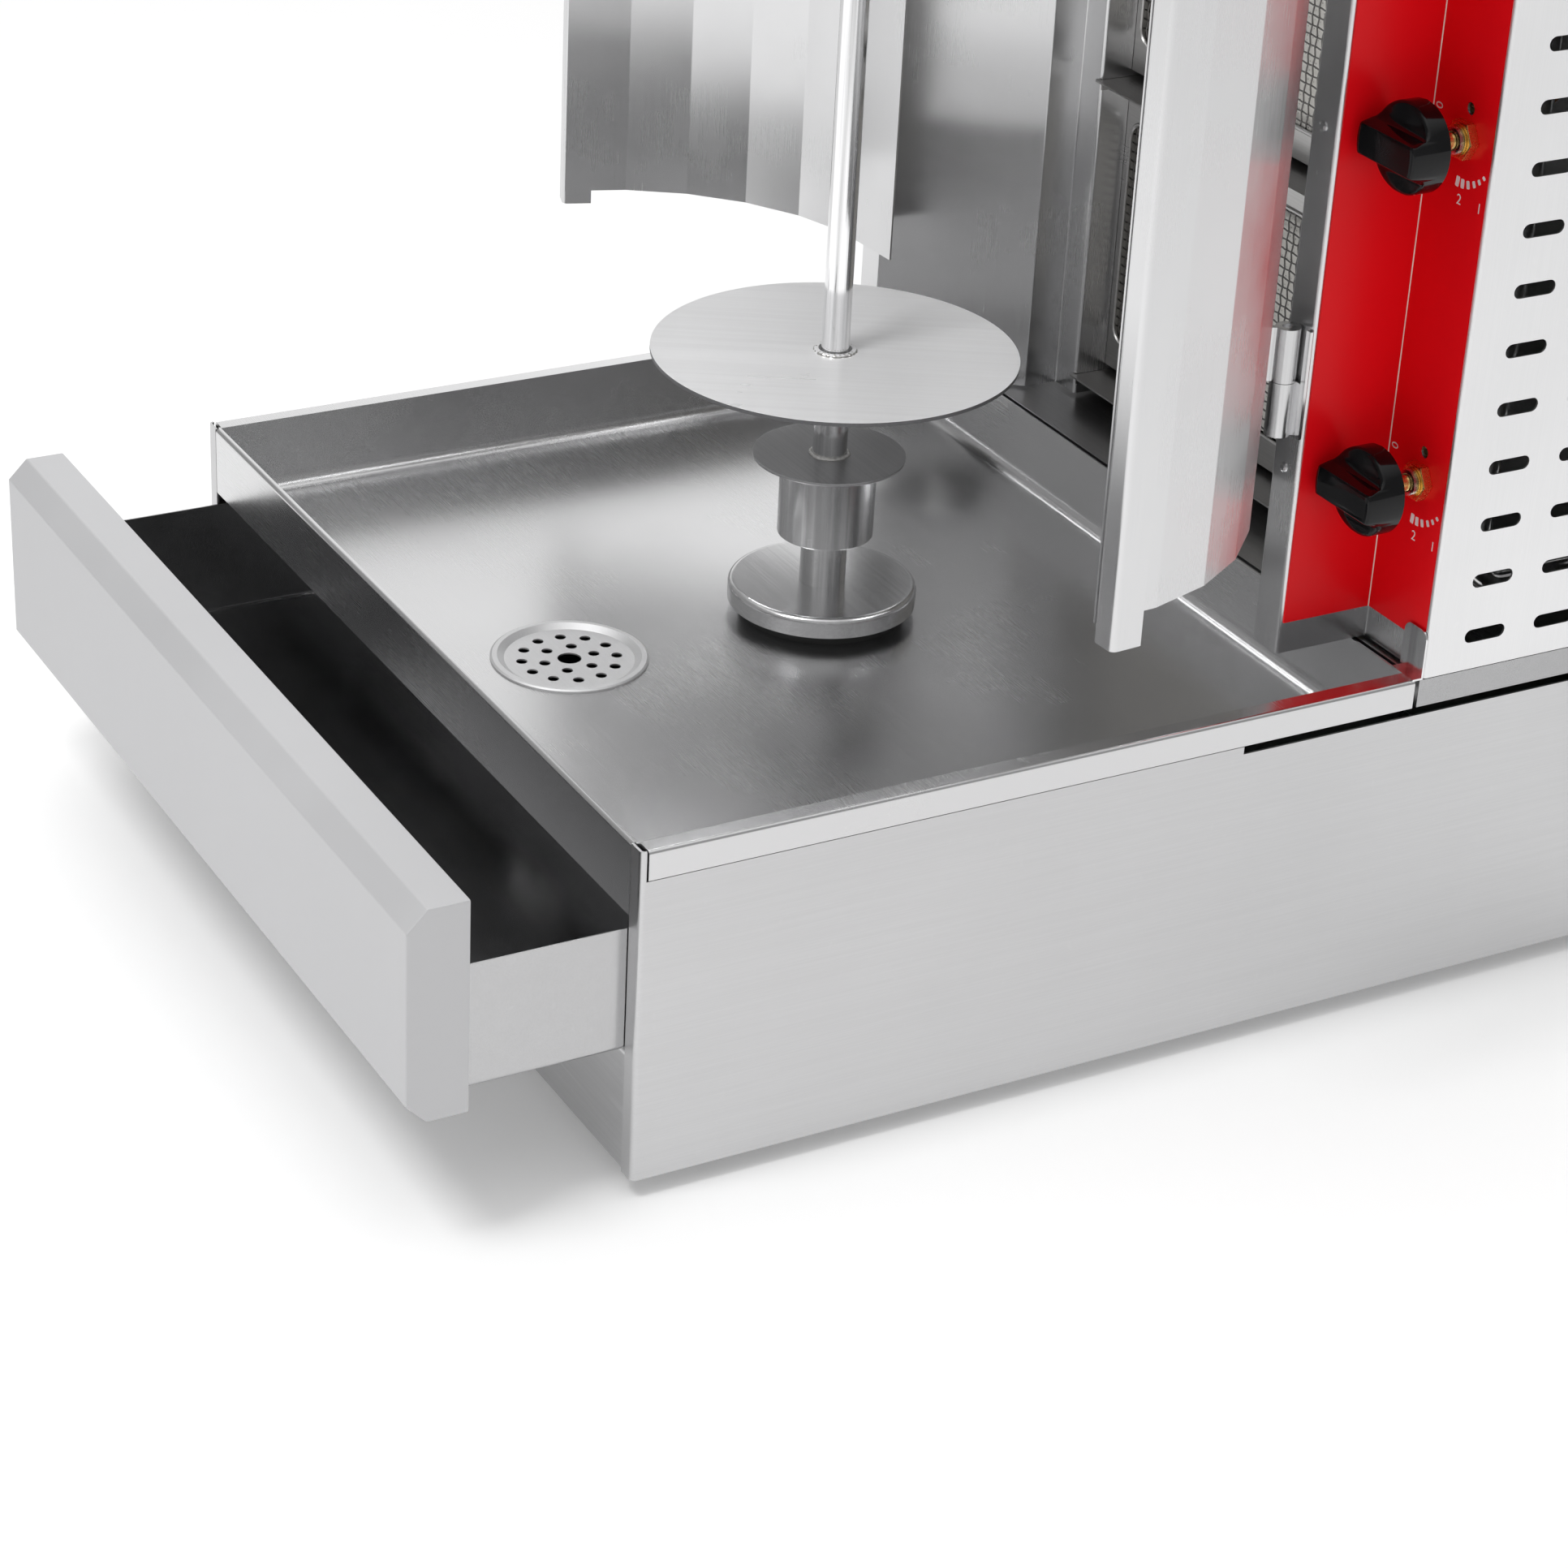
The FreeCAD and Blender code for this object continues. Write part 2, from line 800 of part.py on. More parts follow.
def make_cup():
    """Socket of the spit: a blind bore drops over the drive shaft."""
    profile = [
        (shaft_radius + running_fit, cup_bottom),
        (cup_radius, cup_bottom),
        (cup_radius, cup_top),
        (rod_radius + slip_fit, cup_top),
        (rod_radius + slip_fit, bore_top),
        (shaft_radius + running_fit, bore_top),
    ]
    return spun(profile, 0, spit_y)


def make_drip_disc():
    return tube(drip_disc_radius, rod_radius + slip_fit, (0, spit_y, cup_top), (0, 0, 1), drip_disc_sheet)


def make_spit_tube():
    return tube(spit_tube_radius, rod_radius + slip_fit, (0, spit_y, disc_top), (0, 0, 1), spit_tube_height)


def make_spit_plate():
    """Meat plate with a loose centre hole and a raised weld ring."""
    profile = [
        (spit_plate_hole, plate_bottom),
        (spit_plate_radius, plate_bottom),
        (spit_plate_radius, plate_top),
        (weld_ring_radius, plate_top),
        (weld_ring_radius - weld_ring_slope, plate_top + weld_ring_height),
        (spit_plate_hole, plate_top + weld_ring_height),
    ]
    return spun(profile, 0, spit_y)


# Column sheets

def post_path():
    """Plan line of the right post: niche wall, step, cheek, hinge flange, recess and side return."""
    step_y = post_front_y - post_step_depth
    return [
        (niche_half_width, post_front_y + post_wall_depth),
        (niche_half_width, post_front_y),
        (cheek_x, post_front_y),
        (cheek_x, step_y),
        (flange_x, flange_y),
        (recess_x, flange_y),
        (recess_x, recess_y),
        (half_width - column_sheet - seat_gap, recess_y),
        (half_width - column_sheet - seat_gap, recess_y + recess_return),
    ]


def valve_holes(radius):
    """Drillings through the recess wall for the valve necks."""
    return [drilling_y(radius, valve_x, recess_y, z) for z in burner_heights()]


def sight_holes():
    """Small sight holes above the valves."""
    holes = []
    for z in burner_heights():
        holes.append(drilling_y(sight_hole_radius, valve_x, recess_y, z + sight_hole_rise))
    return holes


def probe_holes():
    """Holes for the flame sensors through the niche wall."""
    holes = []
    for z in burner_heights():
        spot = (niche_half_width - drill_reach, probe_y, z + probe_rise)
        holes.append(rod(probe_radius + probe_hole_gap, spot, (1, 0, 0), 2 * drill_reach))
    return holes


def make_post():
    """Continuous folded sheet of the right post, without its drillings."""
    return folded_plan(post_path(), column_sheet, column_bend, rim_z + post_floor_gap, column_top)


def make_right_post():
    return make_post().cut(valve_holes(valve_neck_radius + seat_gap) + sight_holes() + probe_holes())


def make_left_post():
    return mirrored(make_post())


def make_red_panel():
    """Painted liner on the two walls of the control recess."""
    x = recess_x + red_sheet
    path = [
        (x, flange_y + red_edge_inset),
        (x, red_face_y),
        (half_width - cover_return - seat_gap, red_face_y),
    ]
    liner = folded_plan(path, red_sheet, red_bend, rim_z + red_bottom, column_top - seat_gap)
    return liner.cut(valve_holes(valve_neck_radius + seat_gap) + sight_holes())


def make_cover():
    """Wrap-round side and rear cover with rows of cooling slots in both sides."""
    x = half_width
    path = [
        (x - cover_return, cover_front_y),
        (x, cover_front_y),
        (x, rear_y),
        (-x, rear_y),
        (-x, cover_front_y),
        (-x + cover_return, cover_front_y),
    ]
    cover = folded_plan(path, column_sheet, column_bend, rim_z + seat_gap, column_top)
    half_long = slot_length / 2
    half_high = slot_height / 2
    nip = slot_height * slot_corner_share
    slot_room = rear_y - slot_end_margin - cover_front_y - slot_first_setback
    slots = []
    z = rim_z + slot_first_height
    while z < column_top - slot_top_margin:
        for k in range(1 + int(slot_room / slot_column_pitch)):
            y = cover_front_y + slot_first_setback + slot_column_pitch * k
            ring = [
                (y - half_long, z - half_high + nip),
                (y - half_long + nip, z - half_high),
                (y + half_long - nip, z - half_high),
                (y + half_long, z - half_high + nip),
                (y + half_long, z + half_high - nip),
                (y + half_long - nip, z + half_high),
                (y - half_long + nip, z + half_high),
                (y - half_long, z + half_high - nip),
            ]
            outline = [(-x - drill_reach, a, b) for a, b in ring]
            slots.append(prism(outline, (2 * (x + drill_reach), 0, 0)))
        z += slot_row_pitch
    inlet = drilling_y(inlet_radius + inlet_hole_gap, valve_x, rear_y, rim_z + inlet_height)
    return cover.cut(slots + [inlet])


def make_cap():
    """Roof lid with a skirt over the column sheets."""
    x = half_width + cap_overhang
    y0 = flange_y - cap_front_overhang
    y1 = rear_y + cap_overhang
    top = column_top + seat_gap + cap_sheet
    low = column_top - cap_skirt
    t = cap_sheet
    outer = box(-x, x, y0, y1, low, top)
    inner = box(-x + t, x - t, y0 + t, y1 - t, low - 1, top - t)
    return outer.cut(inner)


# Burners

def housing(z):
    """Burner box: open front frame with a rounded window, closed sides and back."""
    x = burner_half
    h = burner_body_height / 2
    t = burner_sheet
    y0 = burner_y
    y1 = burner_y + burner_body_depth
    outer = box(-x, x, y0, y1, z - h, z + h)
    inner = box(-x + t, x - t, y0 + t, y1 - t, z - h + t, z + h - t)
    w = mesh_width / 2
    m = mesh_height / 2
    window = box(-w, w, y0 - 1, y0 + t + 1, z - m, z + m)
    window = rounded(window, window_corner, lambda p: near(abs(p.x), w) and near(abs(p.z - z), m))
    mouth = rod(venturi_radius + seat_gap, (x - drill_reach, venturi_y, z), (1, 0, 0), 2 * drill_reach)
    return outer.cut(inner).cut(window).cut(mouth)


def make_housings():
    return [housing(z) for z in burner_heights()]


def make_ceramics():
    """Two perforated ceramic plaques per burner, as plain tiles."""
    tiles = []
    x1 = burner_half - burner_sheet - seat_gap
    h = mesh_height / 2 + mesh_margin
    y0 = burner_y + ceramic_setback
    for z in burner_heights():
        for x0, x2 in ((-x1, -ceramic_joint / 2), (ceramic_joint / 2, x1)):
            tiles.append(box(x0, x2, y0, y0 + ceramic_thickness, z - h, z + h))
    return tiles


def spread(half, pitch):
    """Even places from -half to half, about a pitch apart."""
    gaps = round(2 * half / pitch)
    return [-half + 2 * half * k / gaps for k in range(gaps + 1)]


def make_meshes():
    """Wire guard in each burner window: upright wires with level wires laid behind them."""
    wires = []
    half_w = mesh_width / 2 + mesh_margin
    half_h = mesh_height / 2 + mesh_margin
    y0 = burner_y + burner_sheet + seat_gap
    y1 = y0 + wire
    r = wire / 2
    for z in burner_heights():
        for x in spread(half_w - r, wire_pitch):
            wires.append(box(x - r, x + r, y0, y1, z - half_h, z + half_h))
        for level in spread(half_h - r, wire_pitch):
            wires.append(box(-half_w, half_w, y1, y1 + wire, z + level - r, z + level + r))
    return wires


def make_shelves():
    """Heat baffles below, between and above the burners, with ears in front of the posts."""
    shelves = []
    x = burner_half
    ear_x = niche_half_width + shelf_ear
    y0 = post_front_y - shelf_overhang
    y1 = y0 + shelf_depth
    for k in range(burner_count + 1):
        z = first_burner_z - shelf_drop + burner_pitch * k
        z0 = z - shelf_sheet
        plate = box(-x, x, y0, y1, z0, z)
        ears = box(-ear_x, ear_x, y0, post_front_y - seat_gap, z0, z)
        ears = rounded(ears, shelf_corner, lambda p: near(abs(p.x), ear_x) and near(p.y, y0))
        tab = box(x - shelf_sheet, x, post_front_y, y1, z - shelf_tab, z)
        shelves.append(fused([plate, ears, tab, mirrored(tab)]))
    return shelves


# Gas line

def bent_pipe(points, radius, bend):
    """Round pipe along straight runs joined by equal arcs."""
    track = [Vector(*p) for p in points]
    edges = []
    here = track[0]
    for before, corner, after in zip(track, track[1:], track[2:]):
        into = (corner - before).normalize()
        out = (after - corner).normalize()
        half = into.getAngle(out) / 2
        trim = bend * math.tan(half)
        start = corner - into * trim
        end = corner + out * trim
        inward = (out - into).normalize()
        middle = corner + inward * (bend / math.cos(half) - bend)
        edges.append(Part.LineSegment(here, start).toShape())
        edges.append(Part.Arc(start, middle, end).toShape())
        here = end
    edges.append(Part.LineSegment(here, track[-1]).toShape())
    path = Part.Wire(edges)
    ring = Part.Wire(Part.makeCircle(radius, track[0], track[1] - track[0]))
    return path.makePipeShell([ring], True, False)


valve_rear = recess_y + column_sheet + nut_gap + valve_depth
manifold_y = valve_rear + manifold_radius
pipe_x = valve_x - valve_body / 2 - pipe_reach
injector_x = pipe_x - pipe_bend - injector_stand_off - injector_length
venturi_end_x = injector_x - injector_gap
knob_rear_y = red_face_y - nut_thickness - stem_exposed
stem_front_y = knob_rear_y - knob_bore_depth + seat_gap
valve_bore_end = stem_front_y + stem_length + valve_push + valve_bore_gap


def make_valves():
    """Gas tap bodies behind the recess wall with a threaded neck and a blind stem bore."""
    taps = []
    half = valve_body / 2
    y0 = recess_y + column_sheet + nut_gap
    neck_front = red_face_y - nut_thickness - nut_gap
    for z in burner_heights():
        block = box(valve_x - half, valve_x + half, y0, valve_rear, z - half, z + half)
        corner = lambda p: near(abs(p.x - valve_x), half) and near(abs(p.z - z), half)
        block = rounded(block, valve_round, corner)
        neck = rod(valve_neck_radius, (valve_x, neck_front, z), (0, 1, 0), y0 - neck_front + 1)
        bore_start = neck_front - 1
        depth = valve_bore_end - bore_start
        bore = rod(stem_radius + running_fit, (valve_x, bore_start, z), (0, 1, 0), depth)
        taps.append(fused([block, neck]).cut(bore))
    return taps


def make_nuts():
    """Brass hex nuts that clamp the taps to the recess wall."""
    nuts = []
    for z in burner_heights():
        nut = hexagon(nut_flats, (valve_x, red_face_y, z), -1, nut_thickness)
        nuts.append(nut.cut(drilling_y(valve_neck_radius + slip_fit, valve_x, red_face_y, z)))
    return nuts


def make_manifold():
    """Upright gas pipe feeding all taps, with an elbow to the rear inlet."""
    top = burner_heights()[-1] + valve_body
    low = rim_z + inlet_height
    pipe_end = rear_y - column_sheet - manifold_end_gap
    points = [(valve_x, manifold_y, top), (valve_x, manifold_y, low), (valve_x, pipe_end, low)]
    return bent_pipe(points, manifold_radius, manifold_radius * 2)


def make_inlet():
    """Threaded gas inlet nipple through the rear cover, with its lock nut."""
    z = rim_z + inlet_height
    start = rear_y - column_sheet - manifold_end_gap + seat_gap
    end = rear_y + inlet_nut_thickness + inlet_length
    nipple = rod(inlet_radius, (valve_x, start, z), (0, 1, 0), end - start)
    nut = hexagon(inlet_nut_flats, (valve_x, rear_y + slip_fit, z), 1, inlet_nut_thickness)
    bore = rod(inlet_bore_radius, (valve_x, start - 1, z), (0, 1, 0), base_depth)
    return fused([nipple, nut]).cut(bore)


def make_pipes():
    """Bent supply pipes from each tap to its injector."""
    pipes = []
    y0 = valve_rear - valve_depth / 2
    for z in burner_heights():
        points = [
            (valve_x - valve_body / 2, y0, z),
            (pipe_x, y0, z),
            (pipe_x, venturi_y, z),
            (injector_x + injector_length, venturi_y, z),
        ]
        pipes.append(bent_pipe(points, pipe_radius, pipe_bend))
    return pipes


def hex_bar_x(flats, x0, x1, y, z):
    """Hexagonal bar along X."""
    radius = flats / math.sqrt(3)
    corners = []
    for k in range(6):
        turn = math.radians(60 * k)
        corners.append((x0, y + radius * math.cos(turn), z + radius * math.sin(turn)))
    return prism(corners, (x1 - x0, 0, 0))


def make_injectors():
    """Brass injector blocks facing the venturi mouths."""
    x1 = injector_x + injector_length
    return [hex_bar_x(injector_flats, injector_x, x1, venturi_y, z) for z in burner_heights()]


def make_venturis():
    """Mixing tubes from the injectors into the burner boxes, flared at the mouth."""
    tubes = []
    start = burner_half - venturi_entry
    flare_x = venturi_end_x - venturi_flare
    for z in burner_heights():
        profile = [
            (venturi_radius, start),
            (venturi_radius, flare_x),
            (venturi_mouth_radius, venturi_end_x),
            (venturi_mouth_radius - venturi_wall, venturi_end_x),
            (venturi_radius - venturi_wall, flare_x),
            (venturi_radius - venturi_wall, start),
        ]
        solid = spun(profile)
        turn = FreeCAD.Matrix(0, 0, 1, 0, 0, 1, 0, venturi_y, -1, 0, 0, z, 0, 0, 0, 1)
        tubes.append(placed(solid, turn))
    return tubes


def make_probes():
    """Flame sensors: thin rods through the niche wall in front of each mesh."""
    probes = []
    tip_x = niche_half_width - probe_reach
    sleeve_x = niche_half_width + column_sheet + seat_gap
    for z in burner_heights():
        level = z + probe_rise
        thin = rod(probe_radius, (tip_x, probe_y, level), (1, 0, 0), probe_reach + probe_tail)
        sleeve = rod(probe_radius * 2, (sleeve_x, probe_y, level), (1, 0, 0), probe_sleeve)
        probes.append(fused([thin, sleeve]))
    return probes


# Controls

def make_stem(z):
    """Brass tap stem between the tap and the knob."""
    return rod(stem_radius, (valve_x, stem_front_y, z), (0, 1, 0), stem_length)


def make_knob(z):
    """Round knob with a level grip bar across its face."""
    front = knob_rear_y - knob_depth
    skirt_front = knob_rear_y - knob_skirt
    skirt = rod(knob_radius, (valve_x, skirt_front, z), (0, 1, 0), knob_skirt)
    skirt = rounded(skirt, knob_round, lambda p: near(p.y, skirt_front))
    reach = knob_radius + 1
    section = [
        (valve_x - reach, skirt_front + 1, z - knob_grip_root / 2),
        (valve_x - reach, front, z - knob_grip_width / 2),
        (valve_x - reach, front, z + knob_grip_width / 2),
        (valve_x - reach, skirt_front + 1, z + knob_grip_root / 2),
    ]
    bar = prism(section, (2 * reach, 0, 0))
    bar = bar.common(rod(knob_radius, (valve_x, front, z), (0, 1, 0), knob_depth))
    bar = rounded(bar, knob_round, lambda p: near(p.y, front))
    knob = fused([skirt, bar])
    bore_front = knob_rear_y - knob_bore_depth
    bore = rod(stem_radius + running_fit, (valve_x, bore_front, z), (0, 1, 0), knob_bore_depth + 1)
    return knob.cut(bore)


# Heat shields

def shield_path():
    """Plan line of the left shield as photographed, from its hinge flange to its free edge."""
    corner = (-hinge_x - shield_root_inset, hinge_y - shield_reach)
    heading = 180 + shield_first_heading
    points = [corner]
    for k in range(shield_facets):
        length = shield_first_facet if k == 0 else shield_facet
        turn = math.radians(heading)
        corner = (corner[0] + length * math.cos(turn), corner[1] + length * math.sin(turn))
        points.append(corner)
        heading += shield_turn
    turn = math.radians(shield_flange_turn)
    x, y = points[0]
    tail = (x + shield_flange * math.cos(turn), y + shield_flange * math.sin(turn))
    return [tail] + points


def swung(shape, side):
    """Left pieces stay; right pieces are mirrored and turned in by the photographed difference."""
    if side < 0:
        return shape
    piece = mirrored(shape)
    piece.rotate(Vector(hinge_x, hinge_y, 0), Vector(0, 0, 1), -shield_swing_right)
    return piece


def make_shield(side):
    """Faceted heat shield, curved round the spit."""
    low = rim_z + shield_bottom
    high = column_top - shield_top_gap
    return swung(folded_plan(shield_path(), shield_sheet, shield_bend, low, high), side)


def make_shield_edge(side):
    """Channel over the free edge of a shield."""
    path = shield_path()
    tip = path[-1]
    prior = path[-2]
    length = math.hypot(tip[0] - prior[0], tip[1] - prior[1])
    along = ((tip[0] - prior[0]) / length, (tip[1] - prior[1]) / length)
    out = (along[1], -along[0])
    w = shield_edge_width
    d = shield_edge_depth

    def at(a, b):
        return (tip[0] + along[0] * a + out[0] * b, tip[1] + along[1] * a + out[1] * b)

    face = seat_gap + shield_sheet
    points = [at(-w, face), at(0, face), at(0, d), at(-w, d)]
    low = rim_z + shield_bottom - shield_edge_drop
    edge = folded_plan(points, shield_sheet, shield_edge_bend, low, column_top - shield_top_gap)
    return swung(edge, side)


def make_shield_knuckles(side):
    """Moving halves of the hinges: barrel, arm and leaf on the shield flange."""
    path = shield_path()
    tail = path[0]
    root = path[1]
    length = math.hypot(tail[0] - root[0], tail[1] - root[1])
    along = ((tail[0] - root[0]) / length, (tail[1] - root[1]) / length)
    back = (-along[1], along[0])
    pivot = (-hinge_x, hinge_y)
    reach = (pivot[0] - root[0]) * back[0] + (pivot[1] - root[1]) * back[1]
    foot = (pivot[0] - back[0] * reach, pivot[1] - back[1] * reach)
    skin = seat_gap

    def at(a, b):
        return (foot[0] + along[0] * a + back[0] * b, foot[1] + along[1] * a + back[1] * b)

    def plate(a0, a1, b0, b1, low, high):
        corners = [at(a0, b0), at(a1, b0), at(a1, b1), at(a0, b1)]
        return prism([(x, y, low) for x, y in corners], (0, 0, high - low))

    knuckles = []
    for low in hinge_heights():
        z0 = low + hinge_height / 2 + hinge_play
        z1 = low + hinge_height
        barrel = rod(hinge_radius, (pivot[0], pivot[1], z0), (0, 0, 1), z1 - z0)
        arm = plate(-hinge_arm / 2, hinge_arm / 2, skin, reach, z0, z1)
        leaf = plate(-hinge_arm / 2, hinge_leaf_width, skin, skin + hinge_leaf, low, z1)
        bore = rod(hinge_pin_radius + running_fit, (pivot[0], pivot[1], z0 - 1), (0, 0, 1), z1 - z0 + 2)
        knuckles.append(swung(fused([barrel, arm, leaf]).cut(bore), side))
    return knuckles


def make_fixed_knuckles():
    """Fixed halves of the hinges: lower barrel and a leaf on the post flange."""
    pieces = []
    leaf_y = flange_y - seat_gap
    for low in hinge_heights():
        z1 = low + hinge_height / 2
        barrel = rod(hinge_radius, (hinge_x, hinge_y, low), (0, 0, 1), z1 - low)
        bridge = box(hinge_x, recess_x, leaf_y - hinge_leaf, leaf_y, low, z1)
        leaf_x = hinge_x + hinge_radius + hinge_leaf
        leaf = box(leaf_x, recess_x, leaf_y - hinge_leaf, leaf_y, low, low + hinge_height)
        bore = rod(hinge_pin_radius, (hinge_x, hinge_y, low - 1), (0, 0, 1), z1 - low + 2)
        piece = fused([barrel, bridge, leaf]).cut(bore)
        pieces += [piece, mirrored(piece)]
    return pieces


def make_hinge_pins():
    """Pins pressed into the fixed barrels."""
    pins = []
    for low in hinge_heights():
        start = (hinge_x, hinge_y, low + hinge_pin_inset)
        pin = rod(hinge_pin_radius, start, (0, 0, 1), hinge_height - 2 * hinge_pin_inset)
        pins += [pin, mirrored(pin)]
    return pins


def make_rivets():
    """Low round rivet heads on the post flanges, one level with each burner that no hinge covers."""
    rivets = []
    profile = [
        (0, 0),
        (rivet_radius, 0),
        (rivet_radius, rivet_head / 2),
        (rivet_crown_radius, rivet_head),
        (0, rivet_head),
    ]
    reach = hinge_height / 2 + rivet_clearance
    for z in burner_heights():
        if any(abs(z - low - hinge_height / 2) < reach for low in hinge_heights()):
            continue
        turn = FreeCAD.Matrix(1, 0, 0, hinge_x, 0, 0, -1, flange_y, 0, 1, 0, z, 0, 0, 0, 1)
        head = placed(spun(profile), turn)
        rivets += [head, mirrored(head)]
    return rivets


# Upper spit bearing

arm_low = column_top + seat_gap + cap_sheet
arm_top = arm_low + arm_height


def make_arm():
    """Inverted channel from the roof out to the spit axis."""
    x = arm_half_width
    y0 = spit_y - arm_front_margin
    y1 = flange_y + arm_rear_length
    path = [(-x, arm_low), (-x, arm_top), (x, arm_top), (x, arm_low)]
    channel = folded_front(path[::-1], arm_sheet, arm_bend, y0, y1)
    bore = rod(bush_radius + slip_fit, (0, spit_y, arm_low), (0, 0, 1), arm_height * 2)
    return channel.cut(bore)


def make_bush():
    """Flanged brass bush that guides the top of the spit rod."""
    low = arm_top + bush_flange - bush_height
    profile = [
        (rod_radius + running_fit, low),
        (bush_radius, low),
        (bush_radius, arm_top),
        (bush_flange_radius, arm_top),
        (bush_flange_radius, arm_top + bush_flange),
        (rod_radius + running_fit, arm_top + bush_flange),
    ]
    return spun(profile, 0, spit_y)


def make_spit_rod():
    """Spit rod from the socket up through the bush, with a bevelled tip."""
    top = arm_top + rod_above_bush
    tip = rod_tip
    profile = [
        (0, bore_top),
        (rod_radius, bore_top),
        (rod_radius, top - tip),
        (rod_radius - tip, top),
        (0, top),
    ]
    return spun(profile, 0, spit_y)


# Rear services

def make_gland():
    """Cable gland in the rear wall of the base."""
    z = floor_z + service_height
    x = -gland_x
    inside = rear_y - base_sheet - slip_fit
    outside = rear_y + slip_fit
    tip = rear_y + gland_length
    neck_radius = gland_radius - gland_neck_step
    neck = rod(neck_radius, (x, inside - gland_nut, z), (0, 1, 0), tip - inside)
    head = hexagon(gland_radius * 2, (x, outside, z), 1, gland_nut)
    dome_start = outside + gland_nut / 2
    dome = rod(gland_radius - gland_dome_step, (x, dome_start, z), (0, 1, 0), tip - dome_start)
    dome = rounded(dome, gland_round, lambda p: near(p.y, tip))
    nut = hexagon(gland_radius * 2, (x, inside, z), -1, gland_nut)
    bore = rod(gland_bore_radius, (x, inside - gland_length, z), (0, 1, 0), 3 * gland_length)
    return fused([neck, head, dome, nut]).cut(bore)


def make_switch_body():
    """Housing of the motor switch, clipped into the rear wall of the base."""
    z = floor_z + service_height
    x = -switch_offset
    w = switch_width / 2
    h = switch_height / 2
    y = rear_y
    rim = box(x - w, x + w, y + slip_fit, y + switch_rim, z - h, z + h)
    w2 = w - switch_rim - seat_gap
    h2 = h - switch_rim - seat_gap
    body = box(x - w2, x + w2, y - switch_body_depth, y + switch_rim / 2, z - h2, z + h2)
    a = rocker_length / 2 + rocker_gap
    r = rocker_radius + rocker_gap
    well = box(x - a, x + a, y - switch_body_depth + switch_wall, y + drill_reach, z - r, z + r)
    return fused([rim, body]).cut(well)


def make_rocker():
    """Rocker on its cross pivot, pressed in on its lower half."""
    z = floor_z + service_height
    x = -switch_offset
    pivot_y = rear_y - rocker_depth
    a = rocker_length / 2
    drum = rod(rocker_radius, (x - a, pivot_y, z), (1, 0, 0), rocker_length)
    lean = math.radians(rocker_tilt)
    reach = rocker_radius * 2
    front = pivot_y + rocker_face
    back = pivot_y - rocker_radius * rocker_back_share
    rise = reach * math.tan(lean)
    outline = [
        (x - a, back, z - reach),
        (x - a, front - rise, z - reach),
        (x - a, front, z),
        (x - a, front + rise * rocker_low_share, z + reach),
        (x - a, back, z + reach),
    ]
    return drum.common(prism(outline, (rocker_length, 0, 0)))


def make_clip():
    """Folded steel tab at the outer end of the control recess."""
    x1 = half_width
    y = cover_front_y - seat_gap
    x0 = x1 - clip_width
    top = rim_z + clip_height
    middle = (x0 + x1) / 2
    tab = box(x0, x1, y - clip_sheet, y, rim_z, top)
    corner = lambda p: near(p.z, top) and near(abs(p.x - middle), clip_width / 2)
    tab = rounded(tab, clip_width * clip_round_share, corner)
    foot = box(x0, x1, y - clip_foot, y, rim_z, rim_z + clip_sheet)
    return fused([tab, foot])


def save(name, made):
    """Write one node; several solids become one group."""
    solids = made if isinstance(made, list) else [made]
    parts = [s for shape in solids for s in shape.Solids]
    whole = parts[0] if len(parts) == 1 else Part.makeCompound(parts)
    volume = sum(p.Volume for p in parts)
    print(f"{name:22s} solids {len(parts):3d}  volume {volume / 1000:9.2f} cm3  valid {whole.isValid()}")
    whole.exportStep(f"parts/{name}.step")


def main():
    os.makedirs("parts", exist_ok=True)
    save("base_shell", make_base_shell())
    save("base_floor", make_base_floor())
    save("base_front_panel", make_front_panel())
    save("rubber_feet", make_feet())
    save("drip_tray", make_tray())
    save("drain_sieve", make_sieve())
    save("plinth_plate", make_plinth())
    save("drawer_runners", make_runners())
    save("drawer_front", make_drawer_front())
    save("drawer_box", make_drawer_box())
    save("motor_bracket", make_motor_bracket())
    save("gear_motor", make_gear_motor())
    save("shaft_bearing", make_shaft_bearing())
    save("shaft_collar", make_collar())
    save("drive_shaft", make_drive_shaft())
    save("foot_cap", make_foot_cap())
    save("spit_cup", make_cup())
    save("drip_disc", make_drip_disc())
    save("spit_tube", make_spit_tube())
    save("spit_plate", make_spit_plate())
    save("spit_rod", make_spit_rod())
    save("left_post", make_left_post())
    save("right_post", make_right_post())
    save("red_panel", make_red_panel())
    save("rear_cover", make_cover())
    save("top_cap", make_cap())
    save("burner_housings", make_housings())
    save("burner_ceramics", make_ceramics())
    save("burner_meshes", make_meshes())
    save("burner_shelves", make_shelves())
    save("venturi_tubes", make_venturis())
    save("gas_injectors", make_injectors())
    save("gas_pipes", make_pipes())
    save("gas_manifold", make_manifold())
    save("gas_valves", make_valves())
    save("gas_inlet", make_inlet())
    save("panel_nuts", make_nuts())
    save("flame_sensors", make_probes())
    save("hinge_fixed_halves", make_fixed_knuckles() + make_hinge_pins())
    save("post_rivets", make_rivets())
    save("cable_gland", make_gland())
    save("switch_body", make_switch_body())
    save("switch_rocker", make_rocker())
    save("recess_clip", make_clip())
    save("top_bracket", make_arm())
    save("top_bush", make_bush())
    for side, word in ((-1, "left"), (1, "right")):
        save(f"{word}_shield", make_shield(side))
        save(f"{word}_shield_edge", make_shield_edge(side))
        save(f"{word}_shield_knuckles", make_shield_knuckles(side))
    for number, z in enumerate(burner_heights(), start=1):
        save(f"knob_{number}", make_knob(z))
        save(f"tap_stem_{number}", make_stem(z))


main()
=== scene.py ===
import json
import math

import bmesh
import bpy
import mathutils
from mathutils import Matrix, Vector


